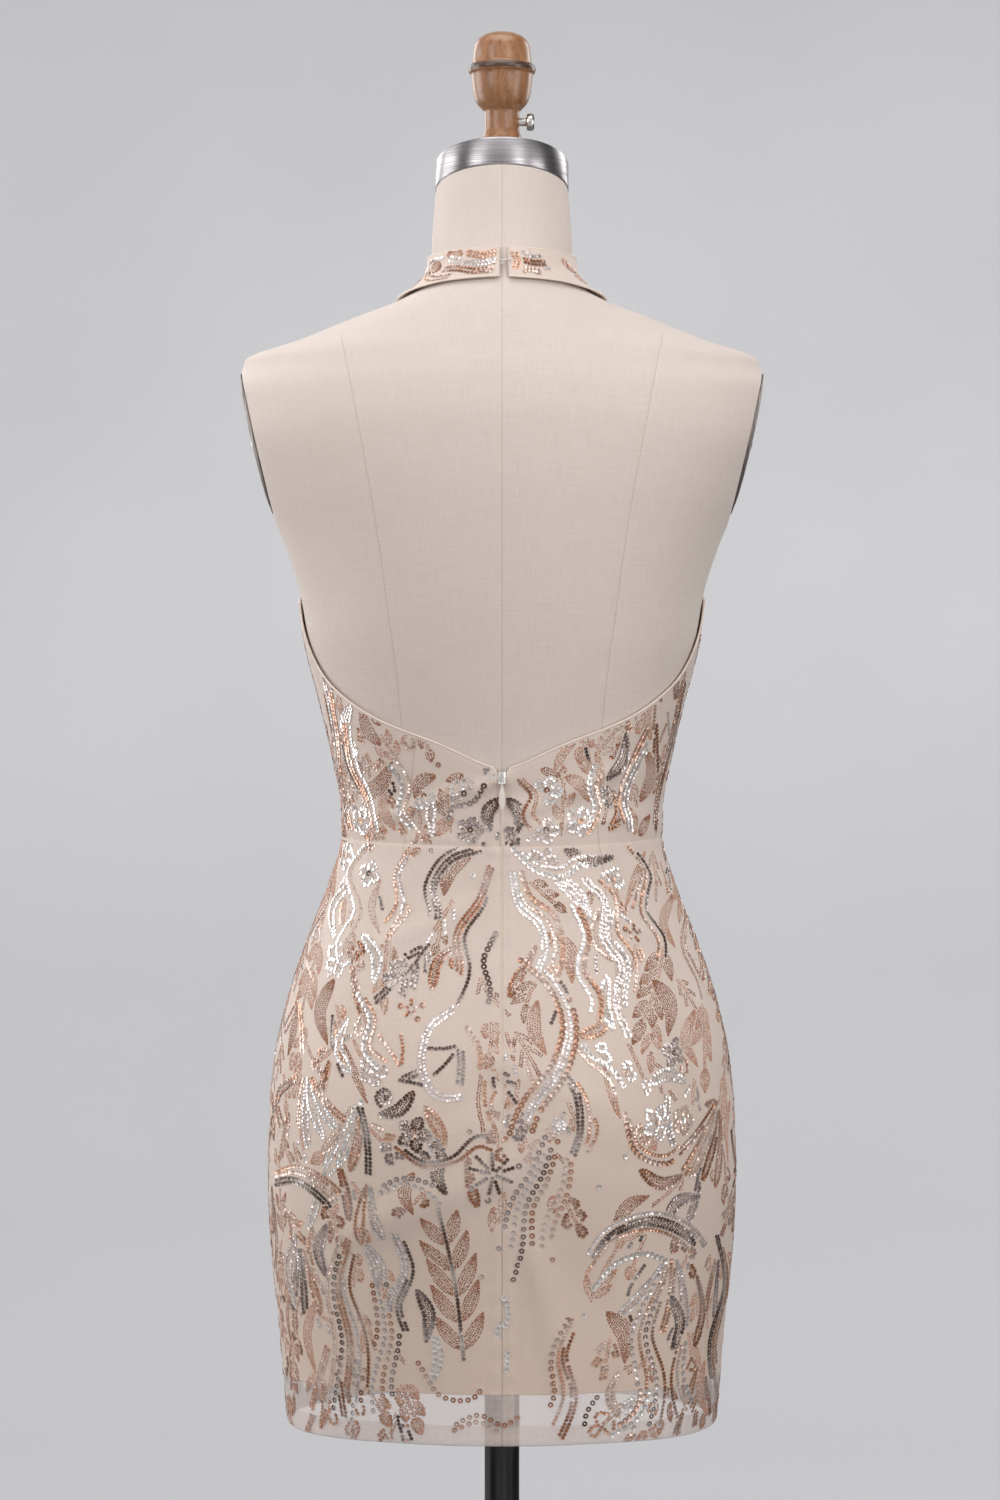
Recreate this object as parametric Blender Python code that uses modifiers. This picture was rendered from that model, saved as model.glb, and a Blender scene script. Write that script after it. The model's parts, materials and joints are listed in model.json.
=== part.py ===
"""Backless halter-neck cocktail dress on a limbless dress form and its stand.

Units are metres and +Z is up. The origin is on the floor under the pole. The back of the dress,
with the zip, faces -Y, so the wearer's left is -X. Every cloth piece is worked out from one
"skin": a closed section at each height, from the hem to the neck, and a lift off that skin.
An angle round the body is 0 at the centre back, 90 at the right side seam and 180 at the centre
front, and it goes on to 270 at the left side seam.
"""

import math
from bisect import bisect_right
from collections import namedtuple

import bmesh
import bpy
from mathutils import Matrix, Vector

MM = 0.001

# ---- heights of the dress ---------------------------------------------------------------------
HEM_Z = 0.620
WAIST_Z = 1.037
WAIST_DIP = 5 * MM                   # how much lower the waist seam lies at the centre back
UNDERARM_Z = 1.205
LINING_ABOVE_HEM = 36 * MM
ZIP_TOP_Z = 1.0855
ZIP_END_Z = 0.835

# ---- cloth ------------------------------------------------------------------------------------
EASE = 0.9 * MM              # from the skin out to the cloth next to the form
HALTER_EASE = 1.8 * MM       # the halter's straps and the band span the hollows at the neck
LINING_WALL = 1.0 * MM
LAYER_GAP = 0.3 * MM
NET_WALL = 1.0 * MM
BODICE_WALL = 2.0 * MM       # net and lining, bagged out together along the neckline
BAND_WALL = 1.6 * MM
SEAM_GAP = 0.3 * MM
BAND_SEAM_GAP = 0.8 * MM
NET_LIFT = EASE + LINING_WALL + LAYER_GAP
ZIP_WIDTH = 2.4 * MM
ZIP_WALL = 1.3 * MM

# ---- dress form and stand ---------------------------------------------------------------------
FORM_BOTTOM_Z = 0.755
FORM_BOTTOM_ROUND = 20 * MM
FORM_SINK = 0.4 * MM                 # from the skin in to the form's cover
NECK_TOP_Z = 1.5046
CAP_HEIGHT = 19.5 * MM
CAP_RADIUS = 48.3 * MM
PLATE_TOP = (187.0 * MM, 1.372)      # x and z of the armhole's highest point
PLATE_BOTTOM = (163.4 * MM, 1.269)   # and of its lowest point
PLATE_HALF_DEPTH = 37 * MM
PLATE_DOME = 4.2 * MM
PLATE_RIM = 1.2 * MM
PLATE_INSET = 1.0 * MM               # from the armhole's ends to the plate's ends
TOUCH = 0.3 * MM
POLE_RADIUS = 12.5 * MM
BASE_RADIUS = 0.200
HUB_RADIUS = 30 * MM
HUB_TOP = 46 * MM
SOCKET_FLOOR = 14 * MM
FLANGE_RADIUS = 38 * MM
FLANGE_HEIGHT = 22 * MM
SLEEVE_RADIUS = 17 * MM
SCREW_Z = 1.5554
COLUMNS_FORM = 48
COLUMNS_HALF = 12                    # cloth columns from a centre line to a side seam

# One row for each section of the skin: its height, half its width, its depth in front of and
# behind the widest line, how far forward that line lies, how square the section is (2 is an
# ellipse), and how much its plane rises to the back for each metre.
Section = namedtuple("Section", "z half_width front back mid square rise")
SECTIONS = [
    Section(0.600, 0.1488, 0.1070, 0.1120, 0.000, 2.20, 0.0),
    Section(0.640, 0.1529, 0.1085, 0.1140, 0.000, 2.20, 0.0),
    Section(0.690, 0.1571, 0.1095, 0.1160, 0.000, 2.20, 0.0),
    Section(0.740, 0.1622, 0.1100, 0.1185, 0.000, 2.20, 0.0),
    Section(0.790, 0.1648, 0.1090, 0.1215, 0.000, 2.20, 0.0),
    Section(0.835, 0.1640, 0.1075, 0.1225, 0.000, 2.18, 0.0),
    Section(0.877, 0.1605, 0.1060, 0.1180, 0.000, 2.15, 0.0),
    Section(0.920, 0.1512, 0.1035, 0.1080, 0.000, 2.12, 0.0),
    Section(0.963, 0.1370, 0.0990, 0.0955, 0.000, 2.10, 0.0),
    Section(1.006, 0.1206, 0.0930, 0.0840, 0.000, 2.08, 0.0),
    Section(1.035, 0.1127, 0.0890, 0.0800, 0.000, 2.06, 0.0),
    Section(1.057, 0.1130, 0.0885, 0.0795, 0.000, 2.06, 0.0),
    Section(1.093, 0.1190, 0.0925, 0.0825, 0.000, 2.10, 0.0),
    Section(1.136, 0.1290, 0.0985, 0.0900, 0.000, 2.15, 0.0),
    Section(1.179, 0.1400, 0.1010, 0.0970, 0.000, 2.20, 0.0),
    Section(1.208, 0.1444, 0.1010, 0.1010, 0.000, 2.20, 0.0),
    Section(1.251, 0.1580, 0.1020, 0.1050, 0.000, 2.15, 0.0),
    Section(1.290, 0.1770, 0.1010, 0.1070, 0.000, 2.05, 0.0),
    Section(1.330, 0.1930, 0.0930, 0.1050, 0.000, 1.95, 0.0),
    Section(1.358, 0.1945, 0.0790, 0.0990, 0.000, 1.85, 0.0),
    Section(1.374, 0.1870, 0.0670, 0.0930, 0.000, 1.75, 0.0),
    Section(1.381, 0.1845, 0.0620, 0.0895, 0.000, 1.72, 0.0),
    Section(1.395, 0.1465, 0.0550, 0.0830, 0.000, 1.72, 0.0),
    Section(1.410, 0.1090, 0.0520, 0.0750, 0.000, 1.78, 0.0),
    Section(1.424, 0.0725, 0.0505, 0.0660, 0.000, 1.90, 0.0),
    Section(1.432, 0.0600, 0.0500, 0.0605, 0.001, 1.96, 0.0),
    Section(1.446, 0.0512, 0.0495, 0.0535, 0.003, 2.00, 0.0),
    Section(1.462, 0.0510, 0.0485, 0.0505, 0.007, 2.00, 0.0),
    Section(1.482, 0.0500, 0.0475, 0.0485, 0.013, 2.00, 0.10),
    Section(1.505, 0.0482, 0.0474, 0.0479, 0.020, 2.00, 0.27),
]

# Soft forms on top of the sections: where each pair is centred, how far it reaches up, down and
# sideways, and how far it stands out.
Mound = namedtuple("Mound", "x z up down across out")
BUST = Mound(0.083, 1.190, 0.052, 0.032, 0.042, 0.036)
SEAT = Mound(0.068, 0.832, 0.055, 0.050, 0.050, 0.007)

# The back neckline, and the two edges of the neckband: angle in degrees and height.
EdgePoint = namedtuple("EdgePoint", "angle z")
BACK_NECKLINE = [
    EdgePoint(0, 1.0865), EdgePoint(4, 1.0885), EdgePoint(21, 1.1045), EdgePoint(42, 1.1215),
    EdgePoint(56, 1.1370), EdgePoint(66, 1.1510), EdgePoint(73, 1.1660), EdgePoint(80, 1.1840),
    EdgePoint(90, UNDERARM_Z),
]
BAND_LOW = [
    EdgePoint(0, 1.4320), EdgePoint(40, 1.4300), EdgePoint(65, 1.4270), EdgePoint(90, 1.4235),
    EdgePoint(120, 1.4190), EdgePoint(150, 1.4020), EdgePoint(180, 1.3860),
]
BAND_HIGH = [
    EdgePoint(0, 1.4550), EdgePoint(40, 1.4545), EdgePoint(65, 1.4540), EdgePoint(90, 1.4535),
    EdgePoint(120, 1.4490), EdgePoint(150, 1.4360), EdgePoint(180, 1.4240),
]
BAND_GAP = (-1.4 * MM, 4.0 * MM)     # x of the band's two ends at the centre back
HALTER_END = 140                     # angle at which the armhole edge meets the neckband

# The armhole edge of the halter front, from the side seam up to the neckband: share of its rows,
# angle in degrees and height.
ArmholePoint = namedtuple("ArmholePoint", "share angle z")
ARMHOLE = [
    ArmholePoint(0.00, 90, UNDERARM_Z), ArmholePoint(0.06, 103, 1.2130),
    ArmholePoint(0.14, 115, 1.2290), ArmholePoint(0.28, 130, 1.2590),
    ArmholePoint(0.43, 141, 1.2910), ArmholePoint(0.58, 149, 1.3240),
    ArmholePoint(0.73, 153, 1.3560), ArmholePoint(0.87, 152, 1.3860),
    ArmholePoint(1.00, HALTER_END, 1.4075),
]

# Soft flutes of the skirt: where, how wide in degrees, and how far out (or in) at the hem.
Flute = namedtuple("Flute", "angle width out")
FLUTES = [
    Flute(24, 10, -1.6 * MM), Flute(52, 13, 1.8 * MM), Flute(104, 12, -2.0 * MM),
    Flute(138, 14, 2.2 * MM), Flute(176, 12, -1.8 * MM), Flute(214, 13, 2.4 * MM),
    Flute(252, 12, -1.6 * MM), Flute(301, 13, 1.6 * MM), Flute(333, 11, -2.0 * MM),
]
FLUTE_TOP_Z = 0.775


# ---- the skin -----------------------------------------------------------------------------------
def smooth_value(keys, values, key):
    """A smooth curve through a short table, with no overshoot between its rows."""
    if key <= keys[0]:
        return values[0]
    if key >= keys[-1]:
        return values[-1]
    i = bisect_right(keys, key) - 1
    steps = [keys[k + 1] - keys[k] for k in range(len(keys) - 1)]
    slopes = [(values[k + 1] - values[k]) / steps[k] for k in range(len(steps))]

    def tangent(k):
        if k == 0:
            return slopes[0]
        if k == len(slopes):
            return slopes[-1]
        before, after = slopes[k - 1], slopes[k]
        if before * after <= 0:
            return 0.0
        return 2 * before * after / (before + after)

    step = steps[i]
    s = (key - keys[i]) / step
    from_here = (1 + 2 * s) * (1 - s) ** 2 * values[i] + s * (1 - s) ** 2 * step * tangent(i)
    to_next = s * s * (3 - 2 * s) * values[i + 1] + s * s * (s - 1) * step * tangent(i + 1)
    return from_here + to_next


SECTION_HEIGHTS = [row.z for row in SECTIONS]
SECTION_COLUMNS = {
    name: [getattr(row, name) for row in SECTIONS] for name in Section._fields if name != "z"
}


def section(z):
    """The section at height z, as (half_width, front, back, mid, square, rise)."""
    return [smooth_value(SECTION_HEIGHTS, SECTION_COLUMNS[name], z) for name in SECTION_COLUMNS]


def mound_out(mound, x, z):
    reach = mound.up if z > mound.z else mound.down
    height = math.exp(-0.5 * ((z - mound.z) / reach) ** 2)
    return mound.out * height * sum(
        math.exp(-0.5 * ((x - side * mound.x) / mound.across) ** 2) for side in (-1, 1)
    )


def skin(angle, z):
    """The point of the skin at an angle round the body, in degrees, and a height."""
    half_width, front, back, mid, square, rise = section(z)
    turn = math.radians(angle)
    forward = -math.cos(turn)
    depth = front if forward > 0 else back
    heading = math.atan2(half_width * math.sin(turn), depth * forward)
    sideways = abs(math.sin(heading)) / half_width
    lengthways = abs(math.cos(heading)) / depth
    radius = (sideways ** square + lengthways ** square) ** (-1 / square)
    x = radius * math.sin(heading)
    y = radius * math.cos(heading)
    share = abs(y) / depth
    y += share * (mound_out(BUST, x, z) if forward > 0 else -mound_out(SEAT, x, z))
    return Vector((x, mid + y, z - rise * y))


def outward(angle, z):
    """The direction that points off the skin there."""
    across = skin(angle + 0.5, z) - skin(angle - 0.5, z)
    upward = skin(angle, z + MM) - skin(angle, z - MM)
    return across.cross(upward).normalized()


def flute_out(angle, z):
    """How far the skirt's soft flutes move the cloth at that place."""
    fall = (FLUTE_TOP_Z - z) / (FLUTE_TOP_Z - HEM_Z)
    if fall <= 0:
        return 0.0
    ease_in = min(fall, 1.0) ** 1.5
    total = 0.0
    for flute in FLUTES:
        away = (angle - flute.angle + 180) % 360 - 180
        total += flute.out * math.exp(-((away / flute.width) ** 2))
    return ease_in * total


def bridge_out(angle, z):
    """How far the bodice front spans the hollow between and under the bust."""
    x = skin(angle, z).x
    level = math.exp(-0.5 * ((z - BUST.z) / 0.045) ** 2)
    return 9 * MM * level * math.exp(-0.5 * (x / 0.036) ** 2) if 90 < angle < 270 else 0.0


def cloth(angle, z, lift):
    """A point of cloth that lies a given lift off the skin."""
    away = lift + flute_out(angle, z) + bridge_out(angle, z)
    return skin(angle, z) + away * outward(angle, z)


# ---- making objects -----------------------------------------------------------------------------
def fresh_collection(name):
    found = bpy.data.collections.new(name)
    bpy.context.scene.collection.children.link(found)
    return found


def paint(obj, name, colour, roughness, metallic=0.0):
    material = bpy.data.materials.get(name) or bpy.data.materials.new(name)
    material.use_nodes = True
    shader = material.node_tree.nodes["Principled BSDF"]
    shader.inputs["Base Color"].default_value = (*colour, 1)
    shader.inputs["Roughness"].default_value = roughness
    shader.inputs["Metallic"].default_value = metallic
    obj.data.materials.clear()
    obj.data.materials.append(material)


NET = ("sequinned net", (0.72, 0.56, 0.46), 0.55)
LINING = ("nude lining", (0.70, 0.56, 0.45), 0.5)
ZIP_TAPE = ("nude zip", (0.74, 0.62, 0.52), 0.45)
LINEN = ("linen cover", (0.78, 0.70, 0.63), 0.85)
STEEL = ("brushed steel", (0.60, 0.60, 0.62), 0.32, 1.0)
WOOD = ("turned beech", (0.42, 0.22, 0.10), 0.4)
NICKEL = ("nickel", (0.70, 0.68, 0.64), 0.22, 1.0)
BLACK = ("black enamel", (0.015, 0.014, 0.016), 0.38)


def put(obj, collection, finish, smooth=True):
    collection.objects.link(obj)
    paint(obj, *finish)
    if smooth:
        obj.data.shade_smooth()
        obj.data.set_sharp_from_angle(angle=math.radians(40))
    return obj


def surface_mesh(name, rows, closed_ring=False):
    """A mesh through rows of points, each row as long as the next."""
    shape = bmesh.new()
    grid = [[shape.verts.new(point) for point in row] for row in rows]
    count = len(rows[0])
    for low, high in zip(grid, grid[1:]):
        for i in range(count if closed_ring else count - 1):
            j = (i + 1) % count
            shape.faces.new((low[i], low[j], high[j], high[i]))
    if closed_ring:
        shape.faces.new(list(reversed(grid[0])))
        shape.faces.new(grid[-1])
    mesh = bpy.data.meshes.new(name)
    shape.to_mesh(mesh)
    shape.free()
    return mesh


def cloth_panel(name, rows, wall, finish, collection):
    """One cut piece of cloth: an open surface through rows of points, and its wall outside it."""
    panel = put(bpy.data.objects.new(name, surface_mesh(name, rows)), collection, finish)
    thickness = panel.modifiers.new("wall", "SOLIDIFY")
    thickness.thickness = wall
    thickness.offset = 1.0
    return panel


def turned(name, profile, steps, finish, collection):
    """A turned piece from a profile of (radius, height) that runs down its outer side."""
    mesh = bpy.data.meshes.new(name)
    points = [(radius, 0, height) for radius, height in profile]
    mesh.from_pydata(points, [(i, i + 1) for i in range(len(points) - 1)], [])
    piece = bpy.data.objects.new(name, mesh)
    screw = piece.modifiers.new("turning", "SCREW")
    screw.axis = "Z"
    screw.steps = screw.render_steps = steps
    screw.use_merge_vertices = True
    screw.merge_threshold = 0.00005
    screw.use_smooth_shade = True
    collection.objects.link(piece)
    paint(piece, *finish)
    return piece


def add_modifier(obj, kind, name, **settings):
    modifier = obj.modifiers.new(name, kind)
    for key, value in settings.items():
        setattr(modifier, key, value)
    return modifier


def hide_as_cutter(obj, collection):
    for holder in list(obj.users_collection):
        holder.objects.unlink(obj)
    collection.objects.link(obj)
    obj.hide_render = True
    obj.display_type = "WIRE"


def block(name, low, high):
    """A box between two corners, with its scale applied."""
    bpy.ops.mesh.primitive_cube_add(size=1)
    box = bpy.context.object
    box.name = box.data.name = name
    sizes = Vector(high) - Vector(low)
    centre = (Vector(high) + Vector(low)) / 2
    box.data.transform(Matrix.Translation(centre) @ Matrix.Diagonal((*sizes, 1)))
    return box


def rod(name, radius, start, end, sides):
    """A round bar between two points."""
    start, end = Vector(start), Vector(end)
    bpy.ops.mesh.primitive_cylinder_add(vertices=sides, radius=radius, depth=(end - start).length)
    bar = bpy.context.object
    bar.name = bar.data.name = name
    turn = (end - start).to_track_quat("Z", "Y").to_matrix().to_4x4()
    bar.data.transform(Matrix.Translation((start + end) / 2) @ turn)
    return bar


def adopt(obj, collection, finish):
    """Moves an object made by an operator into a collection and finishes it."""
    for holder in list(obj.users_collection):
        holder.objects.unlink(obj)
    return put(obj, collection, finish)


def between(low, high, count):
    return [low + (high - low) * i / (count - 1) for i in range(count)]


# ---- the dress ----------------------------------------------------------------------------------
def half_zip_opening(z):
    """Half the space between the two back panels: the zip's, closing to a seam below its end."""
    zip_side = ZIP_WIDTH / 2 + SEAM_GAP
    seam_side = SEAM_GAP / 2
    closing = (ZIP_END_Z - z) / (18 * MM)
    return zip_side + (seam_side - zip_side) * min(max(closing, 0.0), 1.0)


def panel_angles(z, start, end, start_space, end_space, columns):
    """Even angles across a panel at height z, kept clear of its two long seams."""
    first = start + math.degrees(start_space / skin(start, z).to_2d().length)
    last = end - math.degrees(end_space / skin(end, z).to_2d().length)
    return between(first, last, columns + 1)


def waist_dip(angle):
    return WAIST_DIP * max(0.0, math.cos(math.radians(angle))) ** 2


def skirt_panel(name, start, end, heights, lift, wall, finish, collection):
    """A skirt piece between two seams, from the waist seam down to its own hem."""
    rows = []
    columns = COLUMNS_HALF * round((end - start) / 90)
    for z in heights:
        opening = half_zip_opening(z)
        start_space = opening if start == 0 else SEAM_GAP / 2
        end_space = opening if end == 360 else SEAM_GAP / 2
        angles = panel_angles(z, start, end, start_space, end_space, columns)
        share = (z - HEM_Z) / (WAIST_Z - HEM_Z)
        rows.append([cloth(angle, z - share * waist_dip(angle), lift) for angle in angles])
    return cloth_panel(name, rows, wall, finish, collection)


def make_skirt(collection):
    lining_rows = between(HEM_Z + LINING_ABOVE_HEM, WAIST_Z - SEAM_GAP / 2, 15)
    net_rows = [HEM_Z, HEM_Z + LINING_ABOVE_HEM / 2] + lining_rows
    layers = (
        ("skirt", net_rows, NET_LIFT, NET_WALL, NET),
        ("lining", lining_rows, EASE, LINING_WALL, LINING),
    )
    for layer, heights, lift, wall, finish in layers:
        skirt_panel(f"{layer}_back_right", 0, 90, heights, lift, wall, finish, collection)
        skirt_panel(f"{layer}_front", 90, 270, heights, lift, wall, finish, collection)
        skirt_panel(f"{layer}_back_left", 270, 360, heights, lift, wall, finish, collection)


def edge_height(edge, angle):
    """The height of an edge at an angle; both sides of the body are alike."""
    folded = angle if angle <= 180 else 360 - angle
    return smooth_value([point.angle for point in edge], [point.z for point in edge], folded)


def bodice_back(name, start, end, collection):
    """A back piece between the waist seam and the low back neckline."""
    rows = []
    low_z = WAIST_Z + SEAM_GAP / 2
    for share in between(0.0, 1.0, 9):
        zip_side = half_zip_opening(low_z)
        spaces = (zip_side, SEAM_GAP / 2) if start == 0 else (SEAM_GAP / 2, zip_side)
        angles = panel_angles(low_z, start, end, *spaces, COLUMNS_HALF)
        heights = []
        for angle in angles:
            low = low_z - waist_dip(angle)
            heights.append(low + share * (edge_height(BACK_NECKLINE, angle) - low))
        rows.append([cloth(angle, z, EASE) for angle, z in zip(angles, heights)])
    return cloth_panel(name, rows, BODICE_WALL, NET, collection)


def armhole_point(share):
    """The armhole edge at a share of its rows, as (angle, height)."""
    shares = [point.share for point in ARMHOLE]
    angle = smooth_value(shares, [point.angle for point in ARMHOLE], share)
    return angle, smooth_value(shares, [point.z for point in ARMHOLE], share)


def halter_height(share, angle):
    """A height between the underarm and the neck seam."""
    return UNDERARM_Z + share * (edge_height(BAND_LOW, angle) - BAND_SEAM_GAP - UNDERARM_Z)


def make_bodice_front(collection):
    """The halter front: straight rows up to the underarm, then rows that rise to the neck seam."""
    rows = []
    for z in between(WAIST_Z + SEAM_GAP / 2, UNDERARM_Z, 8):
        angles = panel_angles(z, 90, 270, SEAM_GAP / 2, SEAM_GAP / 2, 2 * COLUMNS_HALF)
        rows.append([cloth(angle, z, EASE) for angle in angles])
    for step in between(0.0, 1.0, 12)[1:]:
        upward = step ** 1.5
        edge_angle, edge_z = armhole_point(upward)
        lift = EASE + (HALTER_EASE - EASE) * min(1.0, 20 * upward)
        correction = edge_z - halter_height(upward, edge_angle)
        row = []
        for angle in between(edge_angle, 360 - edge_angle, 2 * COLUMNS_HALF + 1):
            from_centre = (angle - 180) / (180 - edge_angle)
            z = halter_height(upward, angle) + correction * from_centre ** 2
            row.append(cloth(angle, z, lift))
        rows.append(row)
    return cloth_panel("bodice_front", rows, BODICE_WALL, NET, collection)


def make_neckband(collection):
    """The band round the neck, open at the centre back where the hook and eye close it."""
    rows = []
    for share in (0.0, 0.35, 0.7, 1.0):
        row = []
        radius = skin(0, BAND_LOW[0].z).to_2d().length
        first = math.degrees(BAND_GAP[1] / radius)
        last = 360 + math.degrees(BAND_GAP[0] / radius)
        for angle in between(first, last, 37):
            low, high = edge_height(BAND_LOW, angle), edge_height(BAND_HIGH, angle)
            row.append(cloth(angle, low + share * (high - low), HALTER_EASE))
        rows.append(row)
    return cloth_panel("neckband", rows, BAND_WALL, NET, collection)


def back_point(z, lift):
    """A point on the centre back line."""
    return cloth(0, z, lift)


def make_zip_chain(collection):
    """The closed chain of the zip, which fills the space between the two back panels."""
    heights = between(ZIP_END_Z, WAIST_Z, 10) + between(WAIST_Z, ZIP_TOP_Z - 11 * MM, 4)[1:]
    rows = []
    for z in heights:
        middle = back_point(z, NET_LIFT)
        rows.append([middle + Vector((x, 0, 0)) for x in (-ZIP_WIDTH / 2, 0, ZIP_WIDTH / 2)])
    return cloth_panel("zip_chain", rows, ZIP_WALL, ZIP_TAPE, collection)


# The zip's slider and pull tab, about the pin that the pull turns on.
PULL_PIN_Z = ZIP_TOP_Z - 9.0 * MM
PULL_LENGTH = 19 * MM
PULL_WALL = 1.2 * MM
PIN_RADIUS = 0.4 * MM
BARREL_RADIUS = 1.15 * MM
BARREL_HALF = 1.1 * MM
CHEEK = (1.5 * MM, 2.4 * MM)
SLIDER_SEAT = 0.8 * MM               # from the cloth's outer face to the back of the slider
SLIDER_WALL = 1.2 * MM
SLIDER_HALF_WIDTH = 2.7 * MM
SLIDER_BELOW = 2.2 * MM              # from the pin down to the slider's lower edge
SLIDER_ABOVE = 8.4 * MM
CHEEK_BELOW = 1.2 * MM
CHEEK_ABOVE = 1.3 * MM
CHEEK_OUT = 1.1 * MM
CHEEK_ROOT = 0.4 * MM                # how far a cheek is sunk into the slider's body
PIN_ROOT = 0.2 * MM                  # how far the pin's ends stop short of the cheeks' outer faces
PIN_OUT = SLIDER_SEAT + SLIDER_WALL + BARREL_RADIUS + 0.35 * MM

# The pull tab's outline: how far down it, as a share of its length, and its half width.
TabRow = namedtuple("TabRow", "share half_width")
TAB = [
    TabRow(0.03, 0.9 * MM), TabRow(0.12, 0.9 * MM), TabRow(0.28, 1.5 * MM), TabRow(0.48, 2.1 * MM),
    TabRow(0.66, 2.3 * MM), TabRow(0.82, 1.95 * MM), TabRow(0.94, 1.15 * MM), TabRow(1.0, 0.3 * MM),
]


def pin_centre():
    face = back_point(PULL_PIN_Z, NET_LIFT + NET_WALL)
    return Vector((0, face.y - PIN_OUT, PULL_PIN_Z))


def join_pieces(target, others, cutters):
    """Joins each piece to the target by a Boolean union, and applies it."""
    for other in others:
        add_modifier(target, "BOOLEAN", "join", operation="UNION", object=other)
    bpy.context.view_layer.update()
    graph = bpy.context.evaluated_depsgraph_get()
    mesh = bpy.data.meshes.new_from_object(target.evaluated_get(graph))
    target.modifiers.clear()
    target.data = mesh
    for other in others:
        bpy.data.objects.remove(other)
    for cutter in cutters:
        add_modifier(target, "BOOLEAN", "cut", operation="DIFFERENCE", object=cutter)


def make_zip_slider(collection):
    """The slider at the top of the zip: a body, two cheeks and the pin between them."""
    pin = pin_centre()
    body_back = pin.y + PIN_OUT - SLIDER_SEAT
    body_front = body_back - SLIDER_WALL
    body = block(
        "zip_slider",
        (-SLIDER_HALF_WIDTH, body_front, pin.z - SLIDER_BELOW),
        (SLIDER_HALF_WIDTH, body_back, pin.z + SLIDER_ABOVE),
    )
    add_modifier(body, "BEVEL", "rounding", width=0.5 * MM, segments=2, limit_method="ANGLE")
    cheeks = []
    for side in (-1, 1):
        near, far = sorted((side * CHEEK[0], side * CHEEK[1]))
        cheeks.append(
            block(
                f"cheek_{side}",
                (near, pin.y - CHEEK_OUT, pin.z - CHEEK_BELOW),
                (far, body_front + CHEEK_ROOT, pin.z + CHEEK_ABOVE),
            )
        )
    reach = CHEEK[1] - PIN_ROOT
    bar = rod("pin", PIN_RADIUS, (-reach, pin.y, pin.z), (reach, pin.y, pin.z), 10)
    adopt(body, collection, NICKEL)
    join_pieces(body, cheeks + [bar], [])


def make_zip_pull(collection, cutters):
    """The pull tab: a barrel on the slider's pin and a drop-shaped tab that hangs from it."""
    pin = pin_centre()
    right = [(row.half_width, -row.share * PULL_LENGTH) for row in TAB]
    outline = right + [(-x, z) for x, z in reversed(right)]
    curve = bpy.data.curves.new("zip_pull", "CURVE")
    curve.dimensions = "2D"
    curve.fill_mode = "BOTH"
    curve.extrude = PULL_WALL / 2
    spline = curve.splines.new("POLY")
    spline.points.add(len(outline) - 1)
    for point, (x, z) in zip(spline.points, outline):
        point.co = (x, z, 0, 1)
    spline.use_cyclic_u = True
    flat = bpy.data.objects.new("flat_pull", curve)
    collection.objects.link(flat)
    bpy.context.view_layer.update()
    mesh = bpy.data.meshes.new_from_object(
        flat.evaluated_get(bpy.context.evaluated_depsgraph_get())
    )
    bpy.data.objects.remove(flat)
    shape = bmesh.new()
    shape.from_mesh(mesh)
    bmesh.ops.remove_doubles(shape, verts=shape.verts, dist=0.01 * MM)
    shape.to_mesh(mesh)
    shape.free()
    upright = Matrix.Rotation(math.radians(90), 4, "X")
    mesh.transform(Matrix.Translation(pin) @ upright)
    pull = put(bpy.data.objects.new("zip_pull", mesh), collection, ZIP_TAPE)
    half = BARREL_HALF
    barrel = rod("barrel", BARREL_RADIUS, (-half, pin.y, pin.z), (half, pin.y, pin.z), 16)
    reach = half + 1 * MM
    bore = rod("pin_bore", PIN_RADIUS + TOUCH, (-reach, pin.y, pin.z), (reach, pin.y, pin.z), 12)
    hide_as_cutter(bore, cutters)
    join_pieces(pull, [barrel], [bore])
    put_origin(pull, pin)


def put_origin(obj, place):
    """Moves an object's origin to its joint's axis and leaves its shape where it is."""
    obj.data.transform(Matrix.Translation(-place))
    obj.location = place


def wire(name, points, radius, finish, collection):
    """A thin bent wire with closed ends, on a poly spline."""
    curve = bpy.data.curves.new(name, "CURVE")
    curve.dimensions = "3D"
    curve.bevel_depth = radius
    curve.bevel_resolution = 1
    curve.use_fill_caps = True
    spline = curve.splines.new("POLY")
    spline.points.add(len(points) - 1)
    for point, place in zip(spline.points, points):
        point.co = (*place, 1)
    piece = bpy.data.objects.new(name, curve)
    collection.objects.link(piece)
    paint(piece, *finish)
    return piece


def make_hook_and_eye(collection):
    """The hook and eye that close the neckband's two ends, laid out on the band's own slope."""
    z = (BAND_LOW[0].z + BAND_HIGH[0].z) / 2
    origin = skin(0, z)
    out_of_band = outward(0, z)
    along_band = out_of_band.cross(Vector((1, 0, 0))).normalized()

    def place(x, out, up):
        return origin + Vector((x, 0, 0)) + out * out_of_band + up * along_band

    radius = 0.4 * MM
    left_end, right_end = BAND_GAP
    eye_out = HALTER_EASE + BAND_WALL / 2
    hook_out = HALTER_EASE + BAND_WALL + radius + 1.5 * TOUCH
    eye_points = []
    for turn in between(-90, 90, 9):
        a = math.radians(turn)
        x = left_end + 0.9 * MM + 1.7 * MM * math.cos(a)
        eye_points.append(place(x, eye_out, 1.8 * MM * math.sin(a)))
    wire("neck_eye", eye_points, radius, NICKEL, collection)
    hook_points = [
        place(right_end + 3.4 * MM, hook_out, 0), place(right_end + 1.5 * MM, hook_out, 0),
        place(left_end + 3.9 * MM, hook_out, 0), place(left_end + 2.0 * MM, hook_out, 0),
        place(left_end + 1.1 * MM, hook_out - 0.5 * MM, 0),
        place(left_end + 0.8 * MM, eye_out + 0.2 * MM, 0),
    ]
    wire("neck_hook", hook_points, radius, NICKEL, collection)


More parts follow.
